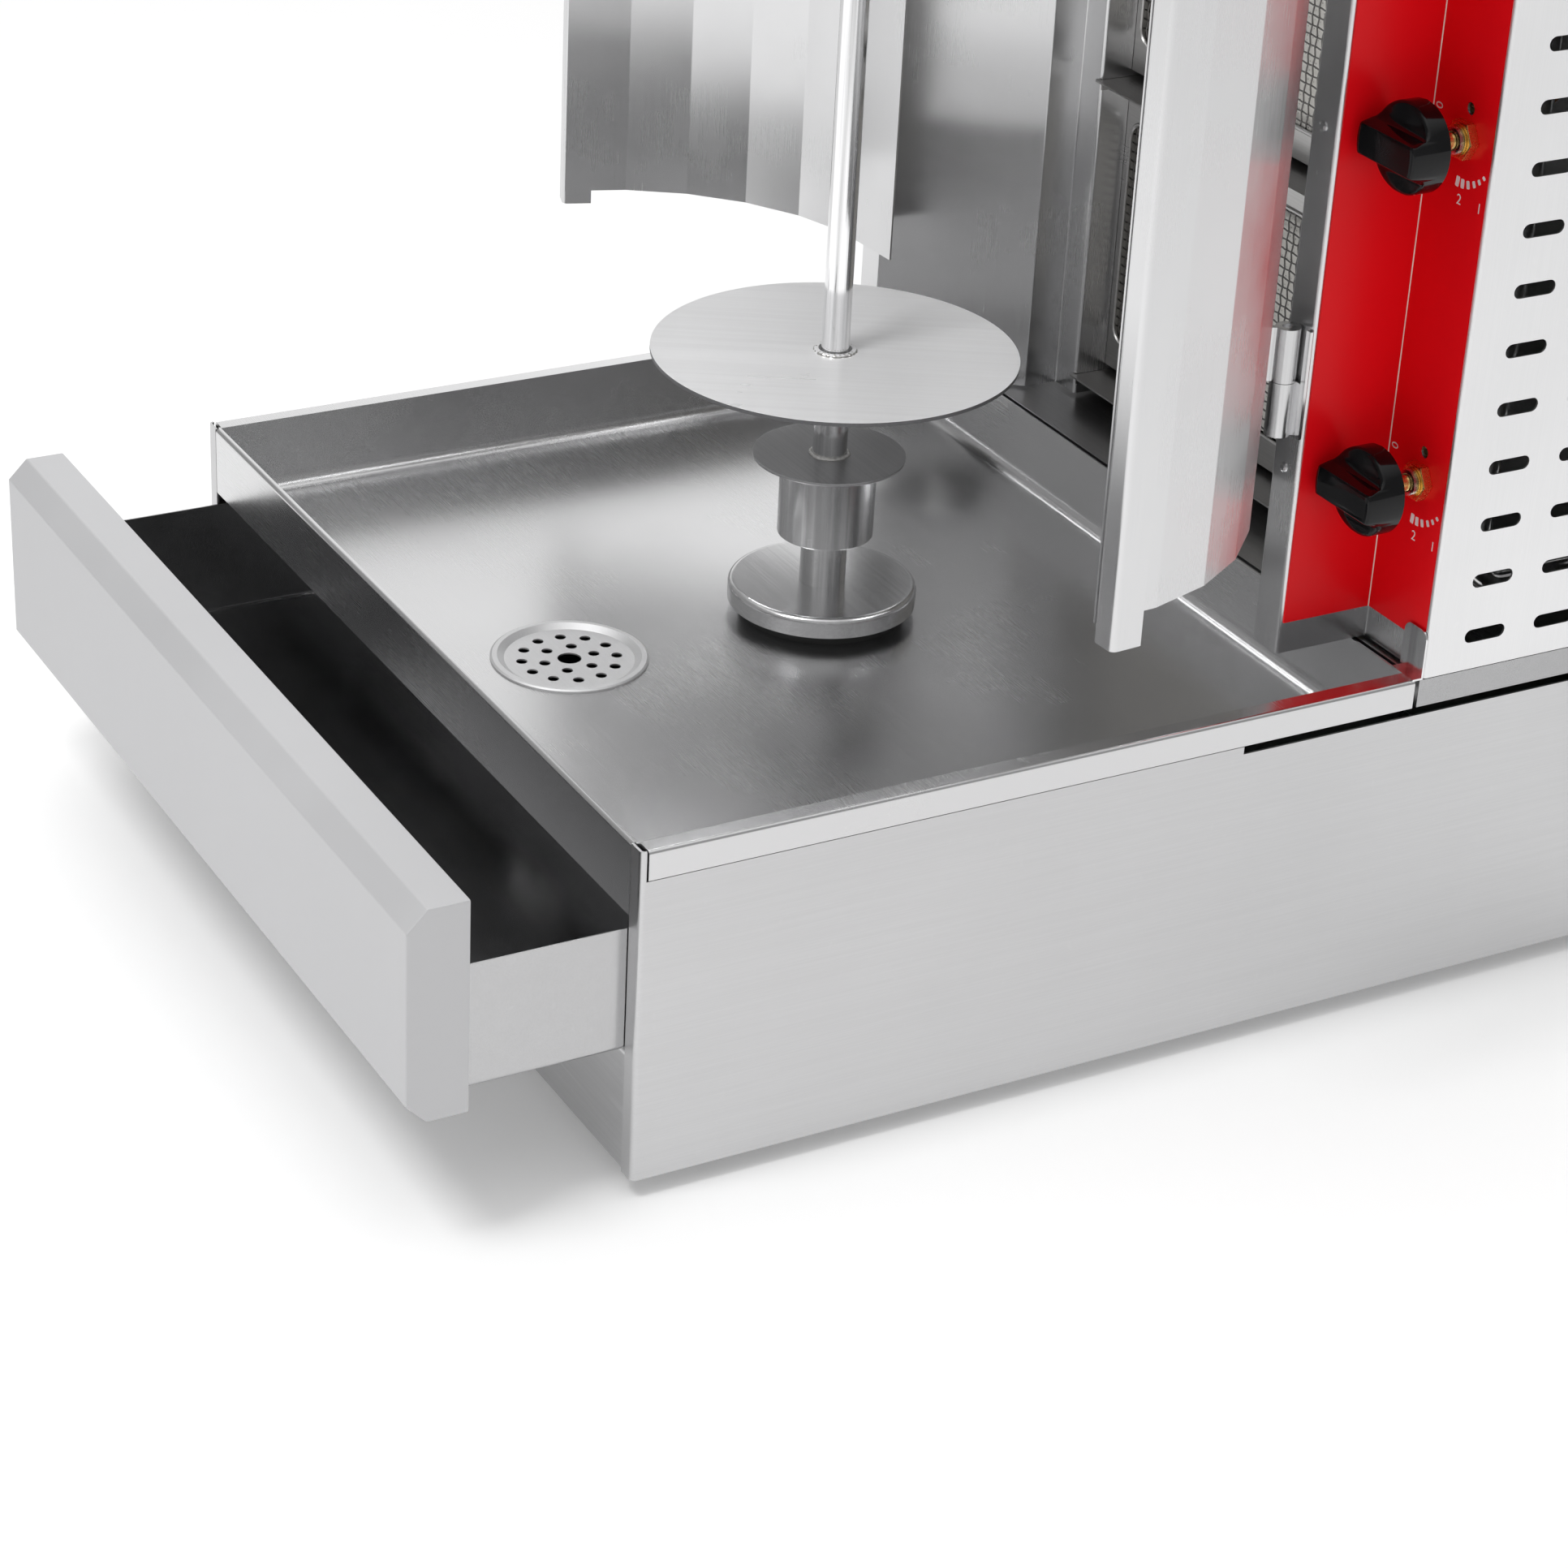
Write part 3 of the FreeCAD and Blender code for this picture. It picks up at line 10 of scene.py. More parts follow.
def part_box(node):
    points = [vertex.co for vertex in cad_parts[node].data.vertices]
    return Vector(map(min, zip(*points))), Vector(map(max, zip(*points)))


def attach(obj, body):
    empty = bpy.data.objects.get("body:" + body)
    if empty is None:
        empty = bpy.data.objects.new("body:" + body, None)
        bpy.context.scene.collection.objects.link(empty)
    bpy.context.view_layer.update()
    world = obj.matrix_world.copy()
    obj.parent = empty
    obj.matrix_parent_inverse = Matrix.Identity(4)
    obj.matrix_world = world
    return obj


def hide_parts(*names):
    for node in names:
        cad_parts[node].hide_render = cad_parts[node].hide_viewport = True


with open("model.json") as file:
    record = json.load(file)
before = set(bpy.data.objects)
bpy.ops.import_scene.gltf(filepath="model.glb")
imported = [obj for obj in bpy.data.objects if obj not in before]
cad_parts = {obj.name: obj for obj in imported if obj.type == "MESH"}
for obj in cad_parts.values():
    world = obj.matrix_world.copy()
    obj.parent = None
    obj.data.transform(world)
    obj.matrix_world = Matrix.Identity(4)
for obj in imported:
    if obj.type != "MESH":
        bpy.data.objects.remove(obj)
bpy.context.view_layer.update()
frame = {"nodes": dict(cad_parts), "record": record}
nodes = frame["nodes"]
record = frame["record"]
body_of_node = {n: body for body, names in record["behaviour"]["bodies"].items() for n in names}

# Metres in a millimetre; lengths are in millimetres unless their heading says otherwise
MM = 0.001
X_AXIS, Y_AXIS, Z_AXIS = Vector((1, 0, 0)), Vector((0, 1, 0)), Vector((0, 0, 1))

# Camera of the photograph: degrees, pixels of the photograph and metres, with the sensor in millimetres
photo_width = 1932.0
camera_azimuth = 59.88
camera_elevation = 28.29
camera_roll = 3.07
camera_focal = 4854.0
corner_pixel = (791.0, 1052.0)
corner_depth = 1.7048
sensor_width = 36.0
clip_near = 0.05
clip_far = 50.0

# Studio: metres and watts
floor_size = 30.0
floor_tints = ((0.93, 0.93, 0.93), (0.96, 0.96, 0.96))
floor_glow = 0.14
key_place = (0.30, -1.25, 1.95)
key_aim = (0.0, 0.0, 0.25)
key_side = 0.6
key_power = 17.0

# Surround, brighter at the left rear, above and at the right front: a direction, the level before and
# after the rise, and where along the direction the rise begins and ends
surround = (
    ((-0.6, 0.8, 0.0), (0.0, 0.90), (0.45, 0.85)),
    ((0.0, 0.0, 1.0), (0.34, 1.35), (0.62, 1.0)),
    ((0.865, -0.50, 0.0), (0.0, 0.15), (0.45, 0.9)),
)

# Edge rounds of the softened nodes
edge_rounds = {
    "drawer_front": 0.8,
    "drip_tray": 0.35,
    "plinth_plate": 0.4,
    "drawer_box": 0.35,
    "drip_disc": 0.5,
    "spit_cup": 0.7,
    "panel_nuts": 0.6,
}
plate_edge_round = 0.15
plate_rim_share = 0.9
plate_rim_slope = 0.6

# Meshes: angles in degrees between neighbouring faces, and distances in metres at which corners merge
smooth_angle = 38.0
sharp_angle = 32.0
flat_angle = 0.6
cover_smooth_angle = 30.0
guard_smooth_angle = 70.0
knob_smooth_angle = 40.0
bead_smooth_angle = 60.0
bevel_profile = 0.6
fine_merge = 1e-7
coarse_merge = 1e-6

# Wrap-round cover
cover_sheet = 1.0
cover_return = 2.5
cover_bend = 0.8
cover_bend_steps = 5
slot_length = 24.0
slot_height = 7.0
slot_first_setback = 34.0
slot_column_pitch = 41.8
slot_columns = 3
slot_first_height = 18.2
slot_row_pitch = 29.4
slot_top_margin = 20.0
slot_round_steps = 8
inlet_hole_radius = 11.4
inlet_hole_steps = 32
cutter_margin = 5.0

# Burner guards and window rims
mesh_pitch = 5.0
mesh_wire = 0.45
mesh_wave = 0.42
mesh_sides = 5
guard_setback = 1.9
guard_margin = 2.0
rim_bead = 1.2
rim_sides = 8
window_corner = 10.0
window_corner_steps = 8

# Knobs and taps
knob_numbers = range(1, 5)
grip_front_half = 7.5
grip_flat_share = 0.5
grip_root_half = 9.0
grip_edge_round = 1.3
grip_root_round = 4.5
skirt_thickness = 11.5
skirt_edge_round = 1.6
skirt_rise = 1.0
bore_radius = 4.1
bore_depth = 14.0
back_edge_bevel = 0.4
grip_edge_steps = 6
grip_root_steps = 8
skirt_steps = 9
cross_steps = 9
neck_outer = 6.3
neck_groove = 5.6
neck_inner = 4.5
neck_length = 3.6
neck_sunk = 0.4
neck_steps = 32
thread_turns = 4
thread_start = 0.35
thread_pitch = 0.9
thread_crest = 0.25
thread_foot = 0.55

# Marks on the red panel
tick_radius = 21.0
tick_angles = (-96, -86, -75, -63, -52, -41)
tick_long = (5.0, 4.4, 3.8, 3.2, 2.6, 2.1)
tick_wide = (2.5, 2.4, 2.2, 2.0, 1.8, 1.7)
tick_corner = 0.5
tick_corner_steps = 3
mark_proud = 0.06
mark_sunk = 0.2
digit_height = 7.0
digit_curve_steps = 4
# Pale line painted down the red panel's corner bend as its highlight: its setback from the panel's edge,
# its radius and its sides
highlight_setback = 0.8
highlight_radius = 0.45
highlight_sides = 8

# Digits beside a knob: 2 for full and 1 for low flame, 0 where it rests, with the way to the right
# and up from the knob's middle and the turn in degrees
digit_rows = (("2", 0.4, -29.0, 0), ("1", 15.2, -28.6, 0), ("0", -21.6, 9.0, 90))

# Weld beads: radius of the ring and of the bead, and how uneven the bead is
plate_bead = (9.7, 1.3)
plate_bead_height = 2.0
tube_bead = (9.3, 1.25)
bead_steps = 120
bead_sides = 10
bead_flatness = 0.9
bead_swell = 0.28
bead_lumps = 5
bead_ripple = 0.10
bead_ripples = 22
bead_wander = 0.35
bead_wander_pace = 0.6
bead_wander_seed = 7

# Places read from the frame
shell_low, shell_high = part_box("base_shell")
cover_low, cover_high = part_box("rear_cover")
recess_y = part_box("panel_nuts")[1].y
floor_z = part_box("rubber_feet")[0].z
half_width = cover_high.x
rim_z = shell_high.z


# Camera, floor and lights

def camera_axes():
    """Right, down and forward directions of the photograph's camera."""
    a = math.radians(camera_azimuth)
    e = math.radians(camera_elevation)
    forward = -Vector((math.sin(a) * math.cos(e), -math.cos(a) * math.cos(e), math.sin(e)))
    right = Vector((math.cos(a), math.sin(a), 0.0))
    down = forward.cross(right)
    r = math.radians(camera_roll)
    tilted_right = right * math.cos(r) - down * math.sin(r)
    tilted_down = right * math.sin(r) + down * math.cos(r)
    return tilted_right, tilted_down, forward


def make_camera():
    """Camera that sees the right front rim corner at its place in the photograph."""
    right, down, forward = camera_axes()
    centre = photo_width / 2
    u = (corner_pixel[0] - centre) / camera_focal
    v = (corner_pixel[1] - centre) / camera_focal
    corner = Vector((half_width, shell_low.y, rim_z))
    place = corner - (right * u + down * v + forward) * corner_depth
    data = bpy.data.cameras.new("camera")
    data.sensor_width = sensor_width
    data.lens = sensor_width * camera_focal / photo_width
    data.clip_start = clip_near
    data.clip_end = clip_far
    camera = bpy.data.objects.new("camera", data)
    bpy.context.scene.collection.objects.link(camera)
    turn = Matrix((right, -down, -forward)).transposed()
    camera.matrix_world = Matrix.Translation(place) @ turn.to_4x4()
    bpy.context.scene.camera = camera


def node_adder(tree):
    """Helper that adds a node to a tree and sets its attributes."""

    def add(kind, **values):
        node = tree.nodes.new(kind)
        for key, value in values.items():
            setattr(node, key, value)
        return node

    return add


def new_material(name):
    """Empty node material with its tree, its shader and a helper that adds nodes."""
    material = bpy.data.materials.new(name)
    material.use_nodes = True
    tree = material.node_tree
    return material, tree, tree.nodes["Principled BSDF"], node_adder(tree)


def noise(add, tree, scale, detail=3.0, roughness=0.55, stretch=(1, 1, 1), turn=(0, 0, 0), heading=0.0):
    """Noise in object space; stretch multiplies the frequency along each axis, turned by the heading."""
    place = add("ShaderNodeTexCoord")
    headed = add("ShaderNodeVectorRotate", rotation_type="Z_AXIS")
    headed.inputs["Angle"].default_value = math.radians(-heading)
    tree.links.new(place.outputs["Object"], headed.inputs["Vector"])
    mapping = add("ShaderNodeMapping")
    mapping.inputs["Scale"].default_value = stretch
    mapping.inputs["Rotation"].default_value = turn
    texture = add("ShaderNodeTexNoise")
    texture.inputs["Scale"].default_value = scale
    texture.inputs["Detail"].default_value = detail
    texture.inputs["Roughness"].default_value = roughness
    tree.links.new(headed.outputs["Vector"], mapping.inputs["Vector"])
    tree.links.new(mapping.outputs["Vector"], texture.inputs["Vector"])
    return texture.outputs["Fac"]


def ramp(add, tree, source, low, high, start=0.0, end=1.0):
    """Value remapped from start..end to low..high."""
    node = add("ShaderNodeMapRange")
    for socket, value in (("From Min", start), ("From Max", end), ("To Min", low), ("To Max", high)):
        node.inputs[socket].default_value = value
    tree.links.new(source, node.inputs["Value"])
    return node.outputs["Result"]


def blend_colour(add, tree, factor, first, second):
    """Colour between two colours or colour sockets by a factor."""
    node = add("ShaderNodeMix", data_type="RGBA")
    for socket, value in (("A", first), ("B", second)):
        if isinstance(value, tuple):
            node.inputs[socket].default_value = (*value, 1)
        else:
            tree.links.new(value, node.inputs[socket])
    tree.links.new(factor, node.inputs["Factor"])
    return node.outputs["Result"]


def add_math(add, tree, kind, a, b):
    """Arithmetic on two sockets or numbers."""
    node = add("ShaderNodeMath", operation=kind)
    for index, value in enumerate((a, b)):
        if isinstance(value, (int, float)):
            node.inputs[index].default_value = value
        else:
            tree.links.new(value, node.inputs[index])
    return node.outputs[0]


def bump(add, tree, shader, height, strength, distance):
    """Bump from a height socket."""
    node = add("ShaderNodeBump")
    node.inputs["Strength"].default_value = strength
    node.inputs["Distance"].default_value = distance
    tree.links.new(height, node.inputs["Height"])
    tree.links.new(node.outputs["Normal"], shader.inputs["Normal"])


def make_floor():
    """Pale studio floor that keeps the shadow."""
    bpy.ops.mesh.primitive_plane_add(size=floor_size, location=(0, 0, floor_z))
    floor = bpy.context.object
    floor.name = "studio_floor"
    material, tree, shader, add = new_material("studio_floor")
    grain = noise(add, tree, scale=3.0)
    tree.links.new(blend_colour(add, tree, grain, *floor_tints), shader.inputs["Base Color"])
    shader.inputs["Roughness"].default_value = 0.9
    shader.inputs["Specular IOR Level"].default_value = 0.0
    seen = add("ShaderNodeLightPath")
    shown = add_math(add, tree, "MAXIMUM", seen.outputs["Is Camera Ray"], seen.outputs["Is Glossy Ray"])
    shader.inputs["Emission Color"].default_value = (1, 1, 1, 1)
    tree.links.new(add_math(add, tree, "MULTIPLY", shown, floor_glow), shader.inputs["Emission Strength"])
    floor.data.materials.append(material)


def make_lamp():
    """Soft square lamp high in front."""
    data = bpy.data.lights.new("key", "AREA")
    data.shape = "RECTANGLE"
    data.size, data.size_y = key_side, key_side
    data.energy = key_power
    lamp = bpy.data.objects.new("key", data)
    bpy.context.scene.collection.objects.link(lamp)
    lamp.location = key_place
    lamp.rotation_euler = (Vector(key_aim) - Vector(key_place)).to_track_quat("-Z", "Y").to_euler()


def make_surround():
    """World that lights the object by the surround's rows and shows white to the camera."""
    world = bpy.data.worlds.new("studio")
    bpy.context.scene.world = world
    world.use_nodes = True
    tree = world.node_tree
    add = node_adder(tree)
    place = add("ShaderNodeTexCoord")
    level = 0.0
    for direction, before_after, rise in surround:
        along = add("ShaderNodeVectorMath", operation="DOT_PRODUCT")
        tree.links.new(place.outputs["Generated"], along.inputs[0])
        along.inputs[1].default_value = direction
        part = ramp(add, tree, along.outputs["Value"], *before_after, *rise)
        level = add_math(add, tree, "ADD", level, part)
    seen = add("ShaderNodeLightPath")
    grey = add("ShaderNodeCombineColor")
    for channel in ("Red", "Green", "Blue"):
        tree.links.new(level, grey.inputs[channel])
    shown = blend_colour(add, tree, seen.outputs["Is Camera Ray"], grey.outputs["Color"], (1.0, 1.0, 1.0))
    background = tree.nodes["Background"]
    tree.links.new(shown, background.inputs["Color"])
    background.inputs["Strength"].default_value = 1.0


# Finishes

ALONG = {"x": (0.010, 1, 1), "y": (1, 0.010, 1), "z": (1, 1, 0.010)}
aslant_heading = 60.0
broad_lines = 0.1
line_band = (0.38, 0.62)
cloud_band = (0.3, 0.7)
scratch_band = (0.70, 0.76)
scratch_gain = 1.12
line_gloss = 0.01
side_facing = 0.7


def tint(add, tree, shader, source, band, first, second):
    """Base colour that runs from one colour to another over a band of a source."""
    factor = ramp(add, tree, source, 0.0, 1.0, *band)
    tree.links.new(blend_colour(add, tree, factor, first, second), shader.inputs["Base Color"])


def vary_gloss(add, tree, shader, source, low, high):
    """Roughness that varies with a source."""
    tree.links.new(ramp(add, tree, source, low, high, *cloud_band), shader.inputs["Roughness"])


def straight_lines(add, tree, scale, axis, heading=0.0):
    """Brush lines along an axis, turned by the heading."""
    return noise(add, tree, scale, detail=2.0, roughness=0.6, stretch=ALONG[axis], heading=heading)


def brush_lines(add, tree, scale, grain):
    """Brush lines along x, y or z, aslant for r, or for h level round upright faces."""
    if grain == "r":
        return straight_lines(add, tree, scale, "x", heading=aslant_heading)
    if grain != "h":
        return straight_lines(add, tree, scale, grain)
    along_x = straight_lines(add, tree, scale, "x")
    along_y = straight_lines(add, tree, scale, "y")
    facing = add("ShaderNodeTexCoord")
    split = add("ShaderNodeSeparateXYZ")
    tree.links.new(facing.outputs["Normal"], split.inputs["Vector"])
    share = add_math(add, tree, "ABSOLUTE", split.outputs["X"], 0.0)
    sideways = add_math(add, tree, "GREATER_THAN", share, side_facing)
    choice = add("ShaderNodeMix", data_type="FLOAT")
    tree.links.new(sideways, choice.inputs["Factor"])
    tree.links.new(along_x, choice.inputs["A"])
    tree.links.new(along_y, choice.inputs["B"])
    return choice.outputs["Result"]


def spread_gloss(add, tree, shader, grain, amount):
    """Gloss drawn out round the grain's axis."""
    tangent = add("ShaderNodeTangent", direction_type="RADIAL", axis=grain.upper())
    tree.links.new(tangent.outputs["Tangent"], shader.inputs["Tangent"])
    shader.inputs["Anisotropic"].default_value = amount


def steel(name, tone, rough, grain="x", streak=0.06, smudge=0.10, relief=0.05, scale=1500.0,
          scratches=0.5, spread=0.0, metal=1.0, coarse=0.25):
    """Brushed stainless steel: fine and broad lines, cloudy wipe marks and stray scratches.

    Streak is the lines' contrast, coarse the share of the broad ones, smudge the wipe marks' change of
    gloss, and spread how far the gloss is drawn out.
    """
    material, tree, shader, add = new_material(name)
    fine = add_math(add, tree, "MULTIPLY", brush_lines(add, tree, scale, grain), 1 - coarse)
    broad = add_math(add, tree, "MULTIPLY", brush_lines(add, tree, scale * broad_lines, grain), coarse)
    lines = add_math(add, tree, "ADD", fine, broad)
    clouds = noise(add, tree, scale=8.0, detail=4.0, roughness=0.6)
    marks = noise(add, tree, scale=300.0, detail=1.0, roughness=0.5,
                  stretch=(0.03, 1, 0.6), turn=(0.3, 0.2, 0.9))
    dark = tuple(c * (1 - streak) for c in tone)
    light = tuple(min(1.0, c * (1 + streak)) for c in tone)
    bright = tuple(min(1.0, c * scratch_gain) for c in tone)
    brushed = blend_colour(add, tree, ramp(add, tree, lines, 0.0, 1.0, *line_band), dark, light)
    scratch = ramp(add, tree, marks, 0.0, scratches, *scratch_band)
    tree.links.new(blend_colour(add, tree, scratch, brushed, bright), shader.inputs["Base Color"])
    cloud_rough = ramp(add, tree, clouds, rough - smudge / 2, rough + smudge / 2, *cloud_band)
    line_rough = ramp(add, tree, lines, -line_gloss, line_gloss, *line_band)
    tree.links.new(add_math(add, tree, "ADD", cloud_rough, line_rough), shader.inputs["Roughness"])
    shader.inputs["Metallic"].default_value = metal
    if spread:
        spread_gloss(add, tree, shader, grain, spread)
    bump(add, tree, shader, lines, relief, distance=0.0003)
    return material


def enamel(name, colour, rough, metal=0.0, specular=0.5):
    """Painted sheet with a faint orange-peel."""
    material, tree, shader, add = new_material(name)
    peel = noise(add, tree, scale=420.0, detail=2.0, roughness=0.5)
    clouds = noise(add, tree, scale=7.0, detail=3.0, roughness=0.5)
    deep = tuple(c * 0.94 for c in colour)
    tint(add, tree, shader, clouds, cloud_band, deep, colour)
    vary_gloss(add, tree, shader, clouds, rough - 0.04, rough + 0.05)
    shader.inputs["Metallic"].default_value = metal
    shader.inputs["Specular IOR Level"].default_value = specular
    bump(add, tree, shader, peel, strength=0.04, distance=0.0004)
    return material


def plastic(name, colour, rough, relief=0.04, scale=260.0, specular=0.5):
    """Moulded plastic or rubber with slight unevenness and handling marks."""
    material, tree, shader, add = new_material(name)
    clouds = noise(add, tree, scale=40.0, detail=3.0, roughness=0.5)
    skin = noise(add, tree, scale=scale, detail=2.0, roughness=0.5)
    paler = tuple(min(1.0, c * 1.5 + 0.003) for c in colour)
    tint(add, tree, shader, clouds, (0.35, 0.7), colour, paler)
    vary_gloss(add, tree, shader, clouds, rough - 0.03, rough + 0.05)
    shader.inputs["Specular IOR Level"].default_value = specular
    bump(add, tree, shader, skin, relief, distance=0.0005)
    return material


def turned_metal(name, colour, rough, streak=0.08, scale=900.0):
    """Machined brass, copper or steel with fine tool marks."""
    material, tree, shader, add = new_material(name)
    marks = noise(add, tree, scale=scale, detail=2.0, roughness=0.5)
    stain = noise(add, tree, scale=60.0, detail=4.0, roughness=0.6)
    dark = tuple(c * (1 - 2.2 * streak) for c in colour)
    tint(add, tree, shader, stain, (0.35, 0.65), dark, colour)
    vary_gloss(add, tree, shader, marks, rough - 0.03, rough + 0.04)
    shader.inputs["Metallic"].default_value = 1.0
    bump(add, tree, shader, marks, strength=0.015, distance=0.0002)
    return material


def porous(name, colour):
    """Burner tile pricked with rows of small flame holes, with shade painted dark into the holes."""
    material, tree, shader, add = new_material(name)
    place = add("ShaderNodeTexCoord")
    cells = add("ShaderNodeTexVoronoi", feature="F1")
    cells.inputs["Scale"].default_value = 420.0
    cells.inputs["Randomness"].default_value = 0.12
    tree.links.new(place.outputs["Object"], cells.inputs["Vector"])
    hole_shade_and_relief = ramp(add, tree, cells.outputs["Distance"], 0.0, 1.0, 0.22, 0.34)
    # Painted shade: the flame holes are coloured at 15% of the tile's colour, as if dark inside
    dark = tuple(c * 0.15 for c in colour)
    tree.links.new(blend_colour(add, tree, hole_shade_and_relief, dark, colour), shader.inputs["Base Color"])
    clouds = noise(add, tree, scale=30.0, detail=3.0, roughness=0.6)
    tree.links.new(ramp(add, tree, clouds, 0.8, 0.95), shader.inputs["Roughness"])
    bump(add, tree, shader, hole_shade_and_relief, strength=0.6, distance=0.001)
    return material


finish = {
    "tray": steel("steel_tray", (0.66, 0.66, 0.665), 0.26, streak=0.012, smudge=0.05, relief=0.0008,
                  scale=2400.0, scratches=0.05, coarse=0.05),
    "plinth": steel("steel_plinth", (0.42, 0.42, 0.425), 0.30, streak=0.05, relief=0.004, scratches=0.1),
    "level": steel("steel_level", (0.60, 0.60, 0.605), 0.34, "h", streak=0.03, relief=0.01),
    "side": steel("steel_side", (0.62, 0.62, 0.625), 0.36, "y", streak=0.02, smudge=0.04, relief=0.01,
                  scratches=0.1, spread=0.6),
    "upright": steel("steel_upright", (0.68, 0.68, 0.685), 0.26, "z", streak=0.012, relief=0.0005,
                     scale=1800.0, scratches=0.05, spread=0.9, coarse=0.1),
    # Painted light: the meat plate's steel is much paler and partly matt, its colour standing in for the
    # light it catches
    "plate": steel("steel_plate_painted_light", (0.95, 0.95, 0.955), 0.30, "r", streak=0.02, relief=0.002,
                   scale=2400.0, scratches=0.0, metal=0.4, coarse=1.0),
    "cut": steel("steel_cut", (0.16, 0.16, 0.165), 0.5, streak=0.1, relief=0.1, metal=0.6),
    "sieve": steel("steel_sieve", (0.66, 0.66, 0.665), 0.42, streak=0.02, relief=0.01, scratches=0.1,
                   metal=0.8),
    "disc": steel("steel_disc", (0.40, 0.40, 0.405), 0.36, scale=900.0, scratches=0.3),
    "turned": steel("steel_turned", (0.66, 0.66, 0.665), 0.20, "z", streak=0.20, relief=0.02,
                    scratches=0.2, spread=0.5, coarse=0.8),
    "cap": steel("steel_cap", (0.66, 0.66, 0.665), 0.22, streak=0.05, smudge=0.06, relief=0.004,
                 scale=1200.0, scratches=0.1, spread=0.3),
    "rod": steel("steel_rod", (0.70, 0.70, 0.705), 0.14, "z", streak=0.38, relief=0.02, scale=2200.0,
                 scratches=0.2, spread=0.8, coarse=0.85),
    "inner": steel("steel_inner", (0.50, 0.50, 0.505), 0.22, streak=0.03, relief=0.02, scratches=0.3),
    "heated": steel("steel_heated", (0.42, 0.415, 0.41), 0.30),
    # Painted light: the cover's steel is paler than the base side's, so its colour carries the brighter
    # far floor it reflects
    "cover": steel("steel_cover_painted_light", (0.80, 0.80, 0.805), 0.40, "z", streak=0.012, relief=0.015,
                   scratches=0.1, spread=0.4),
    "wire": turned_metal("wire_metal", (0.16, 0.155, 0.15), 0.34),
    "bead": turned_metal("weld_metal", (0.66, 0.65, 0.63), 0.30, streak=0.14),
    "red": enamel("red_enamel", (0.93, 0.004, 0.010), 0.34, specular=0.2),
    "silver": enamel("silver_coat", (0.62, 0.62, 0.63), 0.55, metal=0.4),
    "black": plastic("black_gloss", (0.001, 0.001, 0.0015), 0.07, relief=0.005, specular=0.28),
    "rubber": plastic("black_rubber", (0.012, 0.012, 0.012), 0.6, relief=0.2),
    "brass": turned_metal("brass", (0.82, 0.56, 0.20), 0.26, streak=0.015),
    "copper": turned_metal("copper", (0.72, 0.38, 0.22), 0.28),
    "cast": plastic("cast_grey", (0.10, 0.10, 0.11), 0.5, relief=0.3),
    "tile": porous("tile", (0.80, 0.78, 0.74)),
    "print": plastic("white_print", (0.80, 0.74, 0.74), 0.45, relief=0.05),
    # Pale pink colour of the painted highlight down the red panel's corner bend
    "painted_highlight": plastic("pale_painted_highlight", (0.90, 0.66, 0.60), 0.4, relief=0.05),
}

nodes_of_look = {
    "level": "base_floor base_front_panel drawer_runners motor_bracket top_cap top_bracket",
    "side": "base_shell",
    "plinth": "plinth_plate",
    "rubber": "rubber_feet shaft_collar",
    "tray": "drip_tray",
    "plate": "spit_plate",
    "sieve": "drain_sieve",
    "disc": "drip_disc",
    "silver": "drawer_front",
    "inner": "drawer_box",
    "cast": "gear_motor shaft_bearing",
    "rod": "spit_rod",
    "cap": "foot_cap",
    "turned": "drive_shaft spit_cup spit_tube gas_manifold hinge_fixed_halves post_rivets "
              "recess_clip left_shield_knuckles right_shield_knuckles",
    "upright": "left_post right_post left_shield right_shield left_shield_edge right_shield_edge",
    "red": "red_panel",
    "cover": "rear_cover",
    "heated": "burner_housings burner_shelves venturi_tubes",
    "tile": "burner_ceramics",
    "wire": "burner_meshes",
    "brass": "gas_injectors gas_valves gas_inlet panel_nuts top_bush "
             "tap_stem_1 tap_stem_2 tap_stem_3 tap_stem_4",
    "copper": "gas_pipes flame_sensors",
    "black": "cable_gland switch_body switch_rocker knob_1 knob_2 knob_3 knob_4",
}
look_of_node = {name: look for look, names in nodes_of_look.items() for name in names.split()}


def dress_nodes():
    """Give every carried-over node its finish."""
    for name, node in nodes.items():
        node.data.materials.clear()
        node.data.materials.append(finish[look_of_node[name]])


def darken_rim(piece, name):
    """Give the outer upright faces of a round plate the look of a raw cut."""
    low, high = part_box(name)
    centre, radius = (low + high) / 2, (high.x - low.x) / 2
    piece.data.materials.append(finish["cut"])
    for face in piece.data.polygons:
        away = math.hypot(face.center.x - centre.x, face.center.y - centre.y)
        if abs(face.normal.z) < plate_rim_slope and away > radius * plate_rim_share:
            face.material_index = 1


# Mesh helpers

def box_middle(node):
    """Middle of a node's box."""
    low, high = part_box(node)
    return (low + high) / 2


def new_piece(name, mesh, look, body, replaced=()):
    """Object of a mesh, dressed, riding on its body and standing for the nodes it replaces."""
    piece = bpy.data.objects.new(name, mesh)
    bpy.context.scene.collection.objects.link(piece)
    mesh.materials.clear()
    mesh.materials.append(finish[look])
    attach(piece, body)
    if replaced:
        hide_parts(*replaced)
    return piece


def smooth_by_angle(mesh, angle=smooth_angle):
    """Smooth shading with creases kept sharp."""
    for face in mesh.polygons:
        face.use_smooth = True
    mesh.set_sharp_from_angle(angle=math.radians(angle))


def weigh_normals(mesh, angle=smooth_angle):
    """Smooth shading in which every flat face keeps its own direction up to its edge."""
    limit = math.cos(math.radians(angle))
    around = [[] for _ in mesh.vertices]
    for face in mesh.polygons:
        face.use_smooth = True
        for index in face.vertices:
            around[index].append((face.normal.copy(), face.area))
    directions = []
    for face in mesh.polygons:
        for index in face.vertices:
            total = Vector()
            for normal, area in around[index]:
                if normal.dot(face.normal) > limit:
                    total += normal * area
            directions.append(total.normalized() if total.length > 0 else face.normal.copy())
    mesh.normals_split_custom_set(directions)


